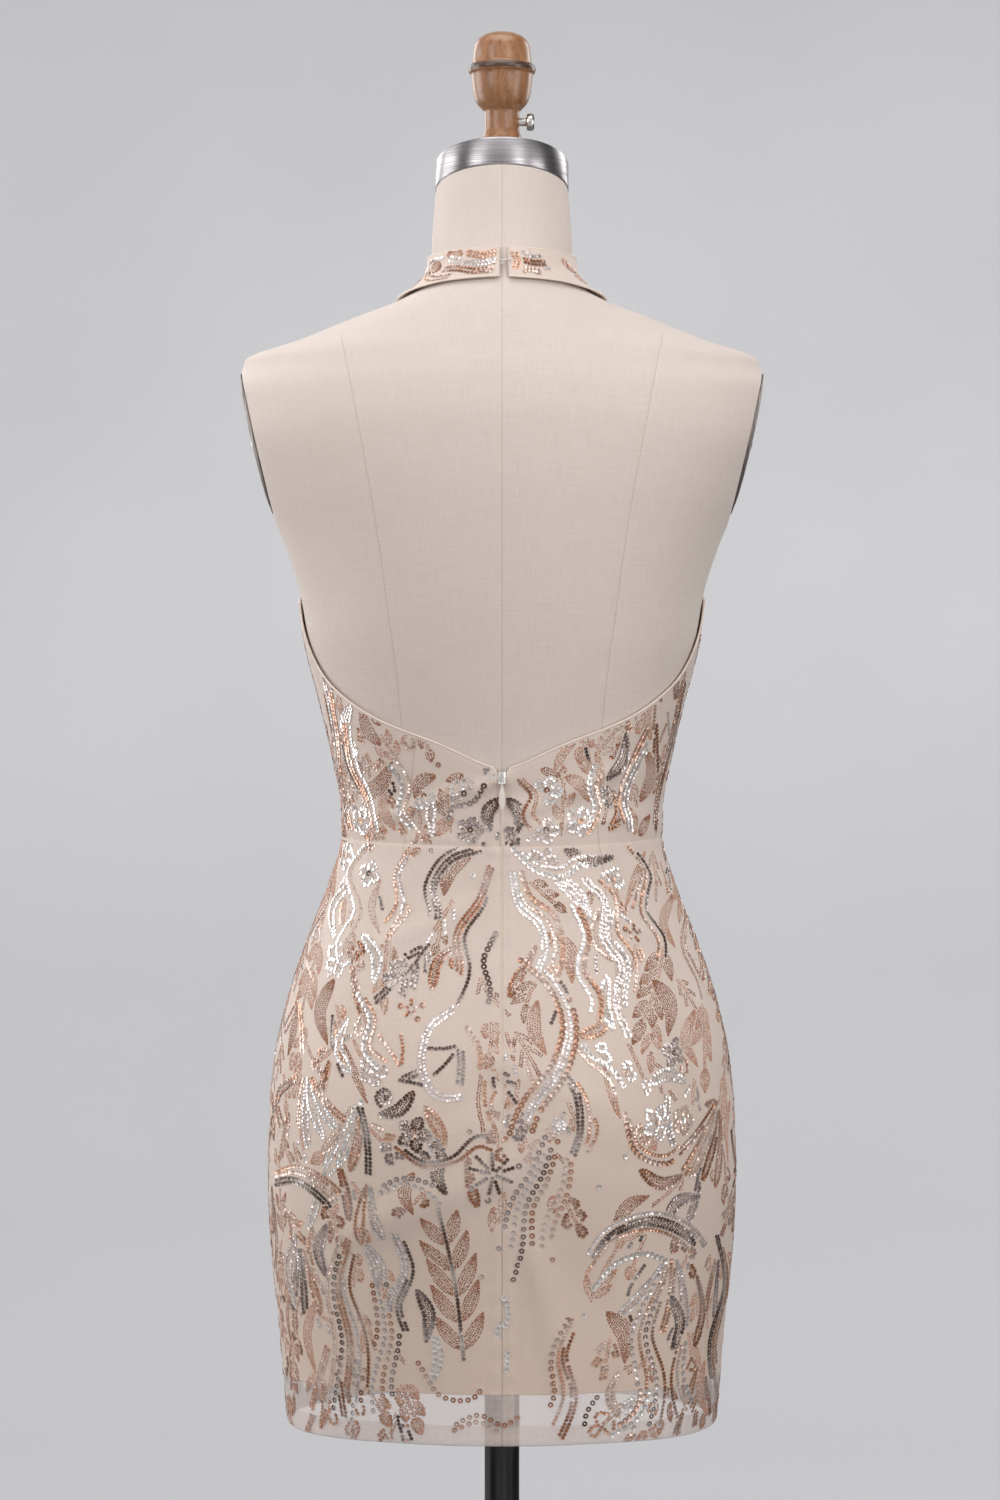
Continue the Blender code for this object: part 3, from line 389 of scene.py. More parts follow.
def tube(name, points, radius, sides=8):
    """A round cord or wire along points, made from a curve and turned into a mesh."""
    curve = bpy.data.curves.new(name, "CURVE")
    curve.dimensions = "3D"
    curve.bevel_depth, curve.bevel_resolution = radius, sides // 2 - 2
    curve.use_fill_caps = True
    spline = curve.splines.new("POLY")
    spline.points.add(len(points) - 1)
    spline.points.foreach_set("co", np.c_[points, np.ones(len(points))].ravel())
    piece = bpy.data.objects.new(name, curve)
    bpy.context.scene.collection.objects.link(piece)
    only(piece)
    bpy.ops.object.convert(target="MESH")
    piece = bpy.context.object
    piece.data.shade_smooth()
    return piece


def spun(name, outline, steps=64, sharp=32):
    """Draws half an outline point by point and spins it round the Z axis, as a lathe would."""
    nothing_selected()
    bpy.ops.mesh.primitive_plane_add(size=MM)
    piece = bpy.context.object
    piece.name = piece.data.name = name
    edit()
    bpy.ops.mesh.merge(type="CENTER")
    bpy.ops.transform.translate(value=(outline[0][0], 0, outline[0][1]))
    for (r0, z0), (r1, z1) in zip(outline, outline[1:]):
        bpy.ops.mesh.extrude_vertices_move(TRANSFORM_OT_translate={"value": (r1 - r0, 0, z1 - z0)})
    bpy.ops.mesh.select_all(action="SELECT")
    bpy.ops.mesh.spin(steps=steps, angle=2 * math.pi, center=(0, 0, 0), axis=(0, 0, 1))
    bpy.ops.mesh.select_all(action="SELECT")
    bpy.ops.mesh.remove_doubles(threshold=0.00002)
    bpy.ops.mesh.normals_make_consistent(inside=False)
    done()
    bpy.ops.object.shade_smooth_by_angle(angle=math.radians(sharp))
    return piece


# %% [markdown]
# ## Helpers for materials
# A material is a small tree of nodes. The helper adds a node, sets or links its inputs by name and
# gives back its output, so a finish reads from top to bottom. The weave and the wear from handling
# are node groups, each built once.

# %% Helpers for materials
class Tree:
    def __init__(self, tree):
        self.tree = tree

    def add(self, kind, inputs=None, out=0, **settings):
        node = self.tree.nodes.new("ShaderNode" + kind)
        for key, value in settings.items():
            setattr(node, key, value)
        for socket, value in (inputs or {}).items():
            if isinstance(value, bpy.types.NodeSocket):
                self.tree.links.new(value, node.inputs[socket])
            else:
                node.inputs[socket].default_value = value
        return node.outputs[out]

    def sum(self, operation, first, second=None, third=None):
        inputs = {k: v for k, v in enumerate((first, second, third)) if v is not None}
        return self.add("Math", inputs, operation=operation)

    def mix(self, factor, first, second):
        return self.add("Mix", {0: factor, 6: first, 7: second}, 2, data_type="RGBA")

    def between(self, value, low, high, to_low=0.0, to_high=1.0):
        return self.add("MapRange", {0: value, 1: low, 2: high, 3: to_low, 4: to_high})

    def scaled(self, vector, by):
        return self.add("VectorMath", {0: vector, 1: by}, operation="MULTIPLY")

    def noise(self, vector, scale, detail=2.0):
        return self.add("TexNoise", {"Vector": vector, "Scale": scale, "Detail": detail})


def group(name, inputs, outputs):
    """A node group with named sockets, and its tree, ready to fill."""
    made = bpy.data.node_groups.new(name, "ShaderNodeTree")
    for title, kind, value in inputs:
        socket = made.interface.new_socket(title, in_out="INPUT", socket_type="NodeSocket" + kind)
        if value is not None:
            socket.default_value = value
    for title, kind in outputs:
        made.interface.new_socket(title, in_out="OUTPUT", socket_type="NodeSocket" + kind)
    tree = Tree(made)
    start = made.nodes.new("NodeGroupInput").outputs
    end = made.nodes.new("NodeGroupOutput").inputs
    return made, tree, start, end


def finish(name, roughness=0.5, **fixed):
    """A material, its tree and its shader, with the shader's constant values set on it."""
    material = bpy.data.materials.new(name)
    material.use_nodes = True
    shader = material.node_tree.nodes["Principled BSDF"]
    shader.inputs["Roughness"].default_value = roughness
    for title, value in fixed.items():
        shader.inputs[title.replace("_", " ")].default_value = value
    return material, Tree(material.node_tree), shader.inputs


def dress_in(piece, material):
    piece.data.materials.clear()
    piece.data.materials.append(material)
    return piece


def link(tree, output, socket):
    tree.tree.links.new(output, socket)


def rgb(red, green, blue):
    """A colour given in the 0 to 255 of a paint chart, as the shader's own linear light."""
    return tuple(((c / 255 + 0.055) / 1.055) ** 2.4 for c in (red, green, blue)) + (1.0,)


weave, t, start, end = group(
    "Plain weave",
    [("Vector", "Vector", None), ("Threads per metre", "Float", 2000.0)],
    [("Height", "Float"), ("Slub", "Float")],
)
spread = t.add("VectorMath", {0: start["Vector"], 3: start["Threads per metre"]}, operation="SCALE")
wander = t.noise(spread, 0.21, 1.0)
spread = t.add("VectorMath", {0: spread, 1: wander}, operation="ADD")
split = t.add("SeparateXYZ", {0: spread}).node
warp = t.sum("ABSOLUTE", t.sum("SINE", t.sum("MULTIPLY", split.outputs[0], math.pi)))
weft = t.sum("ABSOLUTE", t.sum("SINE", t.sum("MULTIPLY", split.outputs[1], math.pi)))
over = t.add("TexChecker", {"Vector": spread, "Scale": 1.0}, 1)
turns = t.sum("ADD", t.sum("MULTIPLY", warp, over),
              t.sum("MULTIPLY", weft, t.sum("SUBTRACT", 1.0, over)))
link(t, t.sum("MULTIPLY", t.sum("ADD", turns, t.sum("MULTIPLY", warp, weft)), 0.5), end["Height"])
long_threads = t.noise(t.scaled(start["Vector"], (2600.0, 55.0, 1.0)), 1.0, 2.0)
cross_threads = t.noise(t.scaled(start["Vector"], (45.0, 2400.0, 1.0)), 1.0, 2.0)
link(t, t.sum("MULTIPLY", t.sum("ADD", long_threads, cross_threads), 0.5), end["Slub"])

handling, t, start, end = group(
    "Handling",
    [("Vector", "Vector", None), ("Scale", "Float", 40.0)],
    [("Smudge", "Float"), ("Scratch", "Float")],
)
smudge = t.noise(start["Vector"], start["Scale"], 4.0)
link(t, t.between(smudge, 0.35, 0.7), end["Smudge"])
stretched = t.scaled(start["Vector"], (1.0, 1.0, 14.0))
scratch = t.noise(stretched, t.sum("MULTIPLY", start["Scale"], 9.0), 3.0)
link(t, t.between(scratch, 0.62, 0.74), end["Scratch"])


def placed(tree, group_tree, **inputs):
    """A node group placed in a material, with values or links for its named inputs."""
    node = tree.tree.nodes.new("ShaderNodeGroup")
    node.node_tree = group_tree
    for title, value in inputs.items():
        socket = node.inputs[title.replace("_", " ")]
        if isinstance(value, bpy.types.NodeSocket):
            link(tree, value, socket)
        else:
            socket.default_value = value
    return node.outputs


def bumped(tree, shader, height, distance, strength=1.0):
    normal = tree.add("Bump", {"Height": height, "Distance": distance, "Strength": strength})
    link(tree, normal, shader["Normal"])


def surfaced(tree, shader, colour, gloss, *relief):
    """Links a finish's colour, its roughness between two values, and its bump."""
    link(tree, colour, shader["Base Color"])
    link(tree, tree.between(*gloss), shader["Roughness"])
    bumped(tree, shader, *relief)


# %% [markdown]
# ## Cloth and metal finishes
# The form's cover is unbleached linen, a plain weave with slubs. The net is a fine square mesh that
# shows the lining through it, and it is see-through only where no lining backs it, near the hem.
# Steel, nickel, wood and enamel are each worn by hands a little, so their gloss varies.

# %% Linen
linen, t, s = finish("linen cover", 0.88, Sheen_Weight=0.2, Sheen_Roughness=0.5)
flat_way = t.add("UVMap", uv_map="cloth")
place = t.add("TexCoord", out=3)
threads = placed(t, weave, Vector=flat_way, Threads_per_metre=1500.0)
slubs = t.between(threads["Slub"], 0.40, 0.62)
cover = t.mix(slubs, rgb(223, 210, 201), rgb(214, 199, 190))
aged = t.between(t.noise(place, 6.0, 3.0), 0.45, 0.75, 0.0, 0.45)
cover = t.mix(aged, cover, rgb(214, 198, 187))
# Painted shade: the low places between the threads are darkened.
painted_thread_shade = t.between(threads["Height"], 0.15, 0.45, 0.35, 0.0)
cover = t.mix(painted_thread_shade, cover, rgb(176, 160, 144))
from_seam = t.add("Attribute", out=2, attribute_name="seam")
seam_line = t.between(from_seam, 0.55, 0.15)
stitch = t.sum("SINE", t.sum("MULTIPLY", t.add("SeparateXYZ", {0: place}, 2), 2100.0))
seam_line = t.sum("MULTIPLY", seam_line, t.between(stitch, -0.6, 0.4, 0.18, 0.42))
cover = t.mix(seam_line, cover, rgb(146, 126, 112))
thread_height = t.sum("MULTIPLY_ADD", threads["Slub"], 1.0, threads["Height"])
surfaced(t, s, cover, (threads["Slub"], 0.3, 0.7, 0.80, 0.95), thread_height, 0.00009, 0.8)


# %% Net and lining
def net_finish(name, sheer):
    material, t, s = finish(name, 0.62, Sheen_Weight=0.35, Sheen_Roughness=0.35)
    flat_way = t.add("UVMap", uv_map="cloth")
    place = t.add("TexCoord", out=3)
    split = t.add("SeparateXYZ", {0: t.scaled(flat_way, (math.pi / 0.0008, math.pi / 0.0008, 0))}, 0)
    across = t.between(t.sum("ABSOLUTE", t.sum("SINE", split)), 0.62, 0.12)
    upward = t.between(t.sum("ABSOLUTE", t.sum("SINE", split.node.outputs[1])), 0.62, 0.12)
    thread = t.sum("MAXIMUM", across, upward)
    cells = t.noise(flat_way, 800.0, 1.0)
    tint = t.mix(t.between(t.noise(place, 9.0, 3.0), 0.35, 0.7), rgb(220, 202, 190), rgb(210, 191, 177))
    tint = t.mix(t.sum("MULTIPLY", thread, 0.4), tint, rgb(238, 222, 212))
    up = t.add("SeparateXYZ", {0: flat_way}, 1)
    # Painted shade: the net darkens and warms towards the hem, where less light falls.
    tint = t.mix(t.between(up, 0.34, 0.02, 0.0, 0.7), tint, rgb(214, 190, 172))
    shade = t.sum("MULTIPLY", t.sum("SUBTRACT", 1.0, thread), t.between(cells, 0.3, 0.7, 0.10, 0.40))
    colour = t.mix(shade, tint, rgb(188, 164, 149))
    lean = t.sum("MULTIPLY_ADD", t.sum("SUBTRACT", up, 0.408), 0.118, t.sum("ABSOLUTE", up.node.outputs[0]))
    dart = t.between(t.sum("ABSOLUTE", t.sum("SUBTRACT", lean, 0.070)), 0.0010, 0.0002)
    dart = t.sum("MULTIPLY", dart, t.between(up, 0.296, 0.302))
    colour = t.mix(t.sum("MULTIPLY", dart, 0.4), colour, rgb(178, 150, 132))
    link(t, t.between(cells, 0.3, 0.7, 0.52, 0.72), s["Roughness"])
    bumped(t, s, t.sum("MULTIPLY_ADD", dart, -3.0, thread), 0.00008, 0.7)
    if sheer:
        backed = t.between(up, 0.0352, 0.0366)
        holes = t.between(thread, 0.0, 1.0, 0.16, 0.60)
        link(t, t.sum("MAXIMUM", backed, holes), s["Alpha"])
        colour = t.mix(backed, rgb(243, 228, 220), colour)
    link(t, colour, s["Base Color"])
    return material


net = net_finish("sheer net", True)
net_on_lining = net_finish("net on lining", False)

lining, t, s = finish("nude satin lining", 0.45, Sheen_Weight=0.2)
flat_way = t.add("UVMap", uv_map="cloth")
satin = t.noise(t.scaled(flat_way, (3000.0, 160.0, 1.0)), 1.0, 2.0)
colour = t.mix(t.between(satin, 0.35, 0.65), rgb(219, 197, 180), rgb(208, 184, 166))
surfaced(t, s, colour, (satin, 0.3, 0.7, 0.38, 0.52), satin, 0.00003)

binding, t, s = finish("nude binding", 0.5, Sheen_Weight=0.3)
place = t.add("TexCoord", out=3)
rib = t.add("TexWave", {"Vector": place, "Scale": 420.0, "Distortion": 1.5, "Detail": 2.0}, 1)
colour = t.mix(rib, rgb(240, 224, 212), rgb(222, 202, 186))
surfaced(t, s, colour, (rib, 0.0, 1.0, 0.42, 0.58), rib, 0.00005)

# %% Metal, wood and enamel
def metal(name, light, dark, shine, lines, drawn=0.0):
    material, t, s = finish(name, shine, Metallic=1.0, Anisotropic=drawn, Anisotropic_Rotation=0.25)
    place = t.add("TexCoord", out=3)
    touched = placed(t, handling, Vector=place, Scale=46.0)
    brushed = t.noise(t.scaled(place, lines), 1.0, 2.0)
    colour = t.mix(t.between(brushed, 0.35, 0.65), light, dark)
    link(t, t.mix(t.sum("MULTIPLY", touched["Smudge"], 0.3), colour, dark), s["Base Color"])
    rough = t.between(brushed, 0.3, 0.7, shine * 0.8, shine * 1.3)
    link(t, t.sum("MULTIPLY_ADD", touched["Smudge"], 0.10, rough), s["Roughness"])
    bumped(t, s, brushed, 0.00002, 0.6)
    return material


steel = metal("brushed steel", rgb(192, 188, 190), rgb(136, 132, 135), 0.32, (14.0, 14.0, 2600.0), 0.6)
plate_steel = metal("dull plate steel", rgb(150, 140, 134), rgb(112, 102, 98), 0.42, (900.0, 60.0, 24.0))
nickel = metal("nickel plate", rgb(238, 236, 232), rgb(206, 203, 198), 0.24, (160.0, 160.0, 160.0))

wood, t, s = finish("turned beech", 0.38, Coat_Weight=0.35, Coat_Roughness=0.22)
place = t.add("TexCoord", out=3)
touched = placed(t, handling, Vector=place, Scale=60.0)
drawn = t.scaled(place, (240.0, 240.0, 22.0))
grain = t.noise(t.add("VectorMath", {0: drawn, 1: t.noise(place, 40.0)}, operation="ADD"), 1.0, 4.0)
rays = t.noise(t.scaled(place, (900.0, 900.0, 260.0)), 1.0, 1.0)
colour = t.mix(t.between(grain, 0.35, 0.66), rgb(166, 117, 78), rgb(138, 92, 59))
colour = t.mix(t.between(rays, 0.58, 0.72, 0.0, 0.6), colour, rgb(92, 58, 36))
colour = t.mix(t.sum("MULTIPLY", touched["Scratch"], 0.35), colour, rgb(198, 152, 108))
surfaced(t, s, colour, (touched["Smudge"], 0.0, 1.0, 0.30, 0.48), grain, 0.00008)

dark_wood, t, s = finish("dark bead", 0.35, Coat_Weight=0.3)
place = t.add("TexCoord", out=3)
grain = t.noise(t.scaled(place, (240.0, 240.0, 30.0)), 1.0, 3.0)
colour = t.mix(grain, rgb(104, 72, 52), rgb(44, 32, 26))
surfaced(t, s, colour, (grain, 0.3, 0.7, 0.28, 0.45), grain, 0.00006)

enamel, t, s = finish("black enamel", 0.35, Coat_Weight=0.25, Coat_Roughness=0.2)
place = t.add("TexCoord", out=3)
touched = placed(t, handling, Vector=place, Scale=30.0)
colour = t.mix(t.sum("MULTIPLY", touched["Scratch"], 0.5), rgb(24, 22, 24), rgb(66, 62, 62))
orange_peel = t.noise(place, 900.0, 2.0)
surfaced(t, s, colour, (touched["Smudge"], 0.0, 1.0, 0.28, 0.44), orange_peel, 0.00004, 0.5)
print(len(bpy.data.materials), "materials so far")

# %% [markdown]
# ## The form's body
# The padded body is covered in panels of linen: seams run down the centre back and front, down each
# side, and from shoulder to hip through the shoulder blades and the bust. Its grid has a column of
# points on every seam and two close by on each side, so that each seam is a real small groove.

# %% The form's body
FORM_BOTTOM_Z, FORM_ROUND_Z, NECK_TOP_Z, FORM_SINK = 0.755, 0.775, 1.5046, 0.4 * MM
LONG_SEAM_TOP_Z, SIDE_SEAM_TOP_Z, SHOULDER_Z = 1.398, 1.265, 1.395
# Height, and how far from the centre line the long seams lie at the back and in front, millimetres.
LONG_SEAMS = np.array([
    (0.755, 75, 80), (1.037, 66, 62), (1.122, 71, 70), (1.157, 74.4, 76), (1.198, 80, 83),
    (1.246, 86.3, 90), (1.320, 99, 99), (1.392, 113.5, 110), (1.402, 116, 112),
])
BESIDE_SEAM = np.array([-2.4, -0.9, 0.0, 0.9, 2.4])


def angle_across(x, z, front=False):
    """The angle, from 0 to 90 off the centre line, where the skin is x metres to one side."""
    angles = np.linspace(0, 90, 181)
    reach = skin(180 - angles if front else angles, z)[:, 0]
    return float(np.interp(abs(x), np.maximum.accumulate(reach), angles))


def form_heights():
    zones = [(FORM_ROUND_Z, 0.99, 18), (0.99, 1.10, 16), (1.10, 1.27, 28), (1.27, 1.365, 19),
             (1.365, 1.446, 41), (1.446, NECK_TOP_Z, 14)]
    return np.concatenate([np.linspace(*zone)[:-1] for zone in zones] + [[NECK_TOP_Z]])


def form_columns(z):
    """Angles of all the columns at one height, with how far each is from its seam."""
    level = np.clip(z, LONG_SEAMS[0, 0], LONG_SEAMS[-1, 0])
    back, front = (
        angle_across(smooth_curve(LONG_SEAMS[:, 0], LONG_SEAMS[:, k], level) * MM, min(z, SHOULDER_Z), k == 2)
        for k in (1, 2)
    )
    seams = [0, back, 90, 180 - front, 180, 180 + front, 270, 360 - back, 360]
    long, side = z < LONG_SEAM_TOP_Z, z < SIDE_SEAM_TOP_Z
    fade = [1, long, side, long, 1, long, side, long, 1]
    angles, away, shown = [], [], []
    for a, b, show in zip(seams, seams[1:], fade):
        degrees = BESIDE_SEAM / (degree_long(a, z) * 1000)
        degrees_next = BESIDE_SEAM / (degree_long(b, z) * 1000)
        between = np.linspace(a + degrees[4], b + degrees_next[0], 13)[1:-1]
        angles += [*(a + degrees), *between]
        away += [*BESIDE_SEAM, *[9.0] * 11]
        shown += [float(show)] * 16
    return np.array(angles), np.where(np.array(shown) > 0, away, 9.0)


def make_body():
    heights = form_heights()
    columns = [form_columns(z) for z in heights]
    angles = np.array([c[0] for c in columns])
    away = np.array([c[1] for c in columns])
    z = heights[:, None]
    sunk = FORM_SINK + 0.2 * MM * hill(away, 0.6)
    swell = 0.06 * MM * hill(np.abs(away) - 2.4, 1.2)
    rings = skin(angles, z) + (swell - sunk)[..., None] * outward(angles, z)
    corner = []
    for step in range(6):
        turn = math.radians(90 * step / 6)
        inwards = 1 - 0.085 * (1 - math.sin(turn))
        ring = rings[0] * [inwards, inwards, 1]
        ring[:, 2] = FORM_ROUND_Z - 0.020 * math.cos(turn)
        corner.append(ring)
    points = np.concatenate((corner, rings))
    away = np.concatenate((np.repeat(away[:1], 6, axis=0), away))
    steps = np.linalg.norm(np.roll(points, -1, axis=1) - points, axis=2)
    round_it = np.cumsum(np.c_[0 * steps[:, :1], steps], axis=1)
    climb = np.cumsum(np.linalg.norm(np.diff(points, axis=0, prepend=points[:1]), axis=2), axis=0)
    climb = np.c_[climb, climb[:, :1]]
    body = grid("form_body", points, np.stack((round_it, climb), -1), ring=True)
    seam = body.data.attributes.new("seam", "FLOAT", "POINT")
    seam.data.foreach_set("value", np.abs(away).ravel())
    return body


body = make_body()
only(body)
edit("SELECT")
bpy.ops.mesh.fill_holes(sides=0)
PLATE_TOP, PLATE_BOTTOM = (0.187, 1.372), (0.1634, 1.269)
for side in (-1, 1):
    slope = Vector((side * (PLATE_TOP[0] - PLATE_BOTTOM[0]), 0, PLATE_TOP[1] - PLATE_BOTTOM[1]))
    facing = Vector((side * slope.z, 0, -side * slope.x)).normalized()
    bpy.ops.mesh.select_all(action="SELECT")
    bpy.ops.mesh.bisect(plane_co=(side * PLATE_TOP[0], 0, PLATE_TOP[1]), plane_no=facing,
                        use_fill=True, clear_outer=True, threshold=0.00001)
done()
bpy.ops.object.shade_smooth_by_angle(angle=math.radians(38))
settle(dress_in(body, linen), "dress_and_form", "form_torso", slot="linen")
print("body:", len(body.data.polygons), "faces")

# %% [markdown]
# ## Arm plates, cap, finial and screw
# The armholes are closed by domed oval plates. A brushed steel cap sits on the slanted top of the
# neck, and a turned wooden finial stands on it with a thumbscrew in its stem. All of them are turned
# on a lathe in real life, so each is half an outline spun round its axis, then set in its place.

# %% Arm plates
TOUCH = 0.3 * MM


def make_arm_plate(name, side):
    top = Vector((side * PLATE_TOP[0], 0, PLATE_TOP[1]))
    bottom = Vector((side * PLATE_BOTTOM[0], 0, PLATE_BOTTOM[1]))
    long_way = (top - bottom).normalized()
    facing = Vector((side * long_way.z, 0, -side * long_way.x))
    half = (top - bottom).length / 2 - 1 * MM
    rim = [(half * r, z * MM) for r, z in (
        (0.0, 0.0), (1.0, 0.0), (1.0, 0.9), (0.985, 1.25), (0.955, 1.30), (0.935, 1.15), (0.925, 1.25),
    )]
    dome = [(half * 0.92 * math.sin(a), (1.3 + 2.7 * math.cos(a)) * MM) for a in np.linspace(1.5, 0.12, 9)]
    plate = spun(name, rim + dome + [(0.0, 4.0 * MM)], 72)
    screw = [(0.0, 4.2), (0.7, 4.2), (0.8, 4.9), (2.6, 4.7), (3.1, 4.2), (3.1, 3.4), (0.0, 3.4)]
    bolt = spun(name + "_bolt", [(r * MM, z * MM - 0.1 * MM) for r, z in screw], 24)
    across = facing.cross(long_way)
    turn = Matrix((long_way, across, facing)).transposed().to_4x4()
    stand = Matrix.Translation((top + bottom) / 2 + facing * TOUCH) @ turn
    plate.matrix_world = stand @ Matrix.Diagonal((1, 37 * MM / half, 1, 1))
    bolt.matrix_world = stand
    settle(dress_in(plate, plate_steel), "dress_and_form", name, slot="steel")
    settle(dress_in(bolt, nickel), "dress_and_form", slot="steel")


make_arm_plate("arm_plate_right", 1)
make_arm_plate("arm_plate_left", -1)

# %% Neck cap
NECK_MID_Y, NECK_RISE = 0.020, 0.27
CAP_HEIGHT, CAP_RADIUS = 22.5 * MM, 48.3 * MM
neck_frame = Matrix.Translation((0, NECK_MID_Y, NECK_TOP_Z)) @ Matrix.Rotation(-math.atan(NECK_RISE), 4, "X")
cap_edge = [(CAP_RADIUS - 1.6 * MM + 1.6 * MM * math.sin(a), CAP_HEIGHT - 1.6 * MM + 1.6 * MM * math.cos(a))
            for a in np.linspace(0, math.pi / 2, 6)]
cap = spun("neck_cap_steel", [
    (0.0, CAP_HEIGHT + 1.0 * MM), (CAP_RADIUS - 22 * MM, CAP_HEIGHT + 0.9 * MM),
    (CAP_RADIUS - 8 * MM, CAP_HEIGHT + 0.4 * MM), *cap_edge, (CAP_RADIUS, 1.9 * MM),
    (CAP_RADIUS - 0.25 * MM, 1.5 * MM), (CAP_RADIUS, 1.1 * MM), (CAP_RADIUS - 0.7 * MM, TOUCH), (0.0, TOUCH),
], 96)
cap.matrix_world = neck_frame
settle(dress_in(cap, steel), "dress_and_form", "neck_cap", slot="steel")

# %% Finial
FINIAL = np.array([
    (0.0, 1.6206), (6.5, 1.6201), (12.5, 1.6184), (17.2, 1.6152), (20.0, 1.6105), (21.0, 1.6040),
    (21.8, 1.5972), (23.4, 1.5960), (24.6, 1.5936), (24.0, 1.5912), (22.4, 1.5896), (21.8, 1.5835),
    (20.8, 1.5760), (18.3, 1.5690), (14.4, 1.5645), (12.7, 1.5620), (12.6, 1.5505), (13.4, 1.5465),
    (14.6, 1.5425), (14.6, 1.5150),
])
rows = np.arange(len(FINIAL))
fine = np.linspace(0, len(FINIAL) - 1, 64)
outline = np.c_[smooth_curve(rows, FINIAL[:, 0], fine) * MM, smooth_curve(rows, FINIAL[:, 1], fine)]
outline[0, 0] = 0
finial = spun("turned_finial", [*map(tuple, outline), (0.0, 1.5150)], 72, sharp=50)
finial.location = (0, NECK_MID_Y, 0)
only(finial)
bpy.ops.object.transform_apply(location=True)
edit("SELECT")
cap_top = neck_frame @ Vector((0, 0, CAP_HEIGHT + 1.3 * MM))
bpy.ops.mesh.bisect(plane_co=cap_top, plane_no=neck_frame.to_3x3() @ Vector((0, 0, 1)),
                    use_fill=True, clear_inner=True, threshold=0.00001)
done()
dress_in(finial, wood).data.materials.append(dark_wood)
for face in finial.data.polygons:
    face.material_index = int(1.5915 < face.center.z < 1.5968)
settle(finial, "dress_and_form", "finial", slot="wood")

# %% Thumbscrew
SCREW_Z = 1.5554
head = [(0.0, 11.0), (3.0, 11.0), (4.9, 10.8), (6.0, 9.8), (6.3, 9.2), (6.3, 6.6), (5.9, 5.7), (5.2, 5.3),
        (3.4, 5.2), (2.9, 4.6), (2.9, -7.0), (0.0, -7.0)]
screw = spun("thumbscrew_turned", [(r * MM, (12.6 + z) * MM) for r, z in head], 36, sharp=25)
for vertex in screw.data.vertices:
    reach = math.hypot(vertex.co.x, vertex.co.y)
    if reach > 5.8 * MM and round(math.degrees(math.atan2(vertex.co.y, vertex.co.x)) / 10) % 2:
        vertex.co.x *= 0.93
        vertex.co.y *= 0.93
screw.matrix_world = Matrix.Translation((0, NECK_MID_Y, SCREW_Z)) @ Matrix.Rotation(math.radians(90), 4, "Y")
settle(dress_in(screw, nickel), "thumbscrew", "neck_screw", slot="nickel")

# %% [markdown]
# ## Pole and base
# The form stands on a tube that ends in a flange under it and in the hub of a heavy round base. Only
# the top of the tube is known, so flange and base are plain ones of a usual kind.

# %% Pole and base
base_outline = [(12.8, 14.0), (12.8, 46.0), (24.0, 46.0), (28.0, 45.2), (30.0, 43.0), (30.0, 21.0),
                (31.5, 17.5), (36.0, 15.4), (60.0, 14.4), (110.0, 12.5), (160.0, 10.6), (190.0, 9.0),
                (196.0, 8.0), (199.0, 6.4), (200.0, 4.0), (200.0, 0.0), (0.0, 0.0), (0.0, 14.0), (12.8, 14.0)]
base = spun("base_casting", [(r * MM, z * MM) for r, z in base_outline], 128, sharp=40)
settle(dress_in(base, enamel), "dress_and_form", "base", slot="enamel")
POLE_TOP_Z = FORM_BOTTOM_Z - TOUCH
pole = spun("pole_tube", [(0, POLE_TOP_Z), (11.7 * MM, POLE_TOP_Z), (12.5 * MM, POLE_TOP_Z - 0.8 * MM),
                          (12.5 * MM, 14.6 * MM), (0, 14.6 * MM)], 56)
settle(dress_in(pole, enamel), "dress_and_form", "pole", slot="enamel")
flange_outline = [(12.8, 0.0), (37.0, 0.0), (38.0, -1.0), (38.0, -3.2), (37.0, -4.0), (20.0, -6.6),
                  (17.6, -8.4), (17.0, -11.0), (17.0, -21.0), (16.0, -22.0), (12.8, -22.0), (12.8, 0.0)]
flange = spun("flange_casting", [(r * MM, POLE_TOP_Z + z * MM) for r, z in flange_outline], 64)
settle(dress_in(flange, enamel), "dress_and_form", "pole_flange", slot="enamel")
print("hard pieces:", sum(len(o.data.polygons) for o in (cap, finial, screw, base, pole, flange)), "faces")

# %% [markdown]
# ## The skirt
# The skirt is cut in three: a front and two backs, with a dart in each back and a seam below the zip.
# The net hangs over the lining and is turned up inside by 14 millimetres at the hem, which shows as a
# denser band. Each sheet is a grid of points laid off the skin, finer beside the zip where it puckers.

# %% The skirt
EASE, HALTER_EASE, NET_LIFT = 0.9 * MM, 1.8 * MM, 2.2 * MM
ZIP_TOP_Z, ZIP_END_Z = 1.0855, 0.835
# How deep the net's hem is turned up, in millimetres, and how far above it the lining ends, in metres.
HEM_FOLD, LINING_ABOVE_HEM = 14.0, 0.036
PANELS = {"back_right": (0, 90), "front": (90, 270), "back_left": (270, 360)}


def half_opening(z):
    """Half the space between the back panels: the zip's, closing to a seam below its end."""
    return (0.75 - 0.62 * np.clip((ZIP_END_Z - np.asarray(z)) / 0.018, 0, 1)) * MM


def shares_across(start, end, columns):
    """Where a panel's columns stand: a narrow one at each seam, and closer ones beside the zip."""
    middle = np.concatenate((np.linspace(0.007, 0.09, 14)[:-1], np.linspace(0.09, 1, columns)[:-1]))
    if end - start > 90:
        middle = np.linspace(0, 1, 2 * columns)[1:-1]
    shares = np.concatenate(([0, 0.0012], middle, [0.9988, 1]))
    return 1 - shares[::-1] if end == 360 else shares


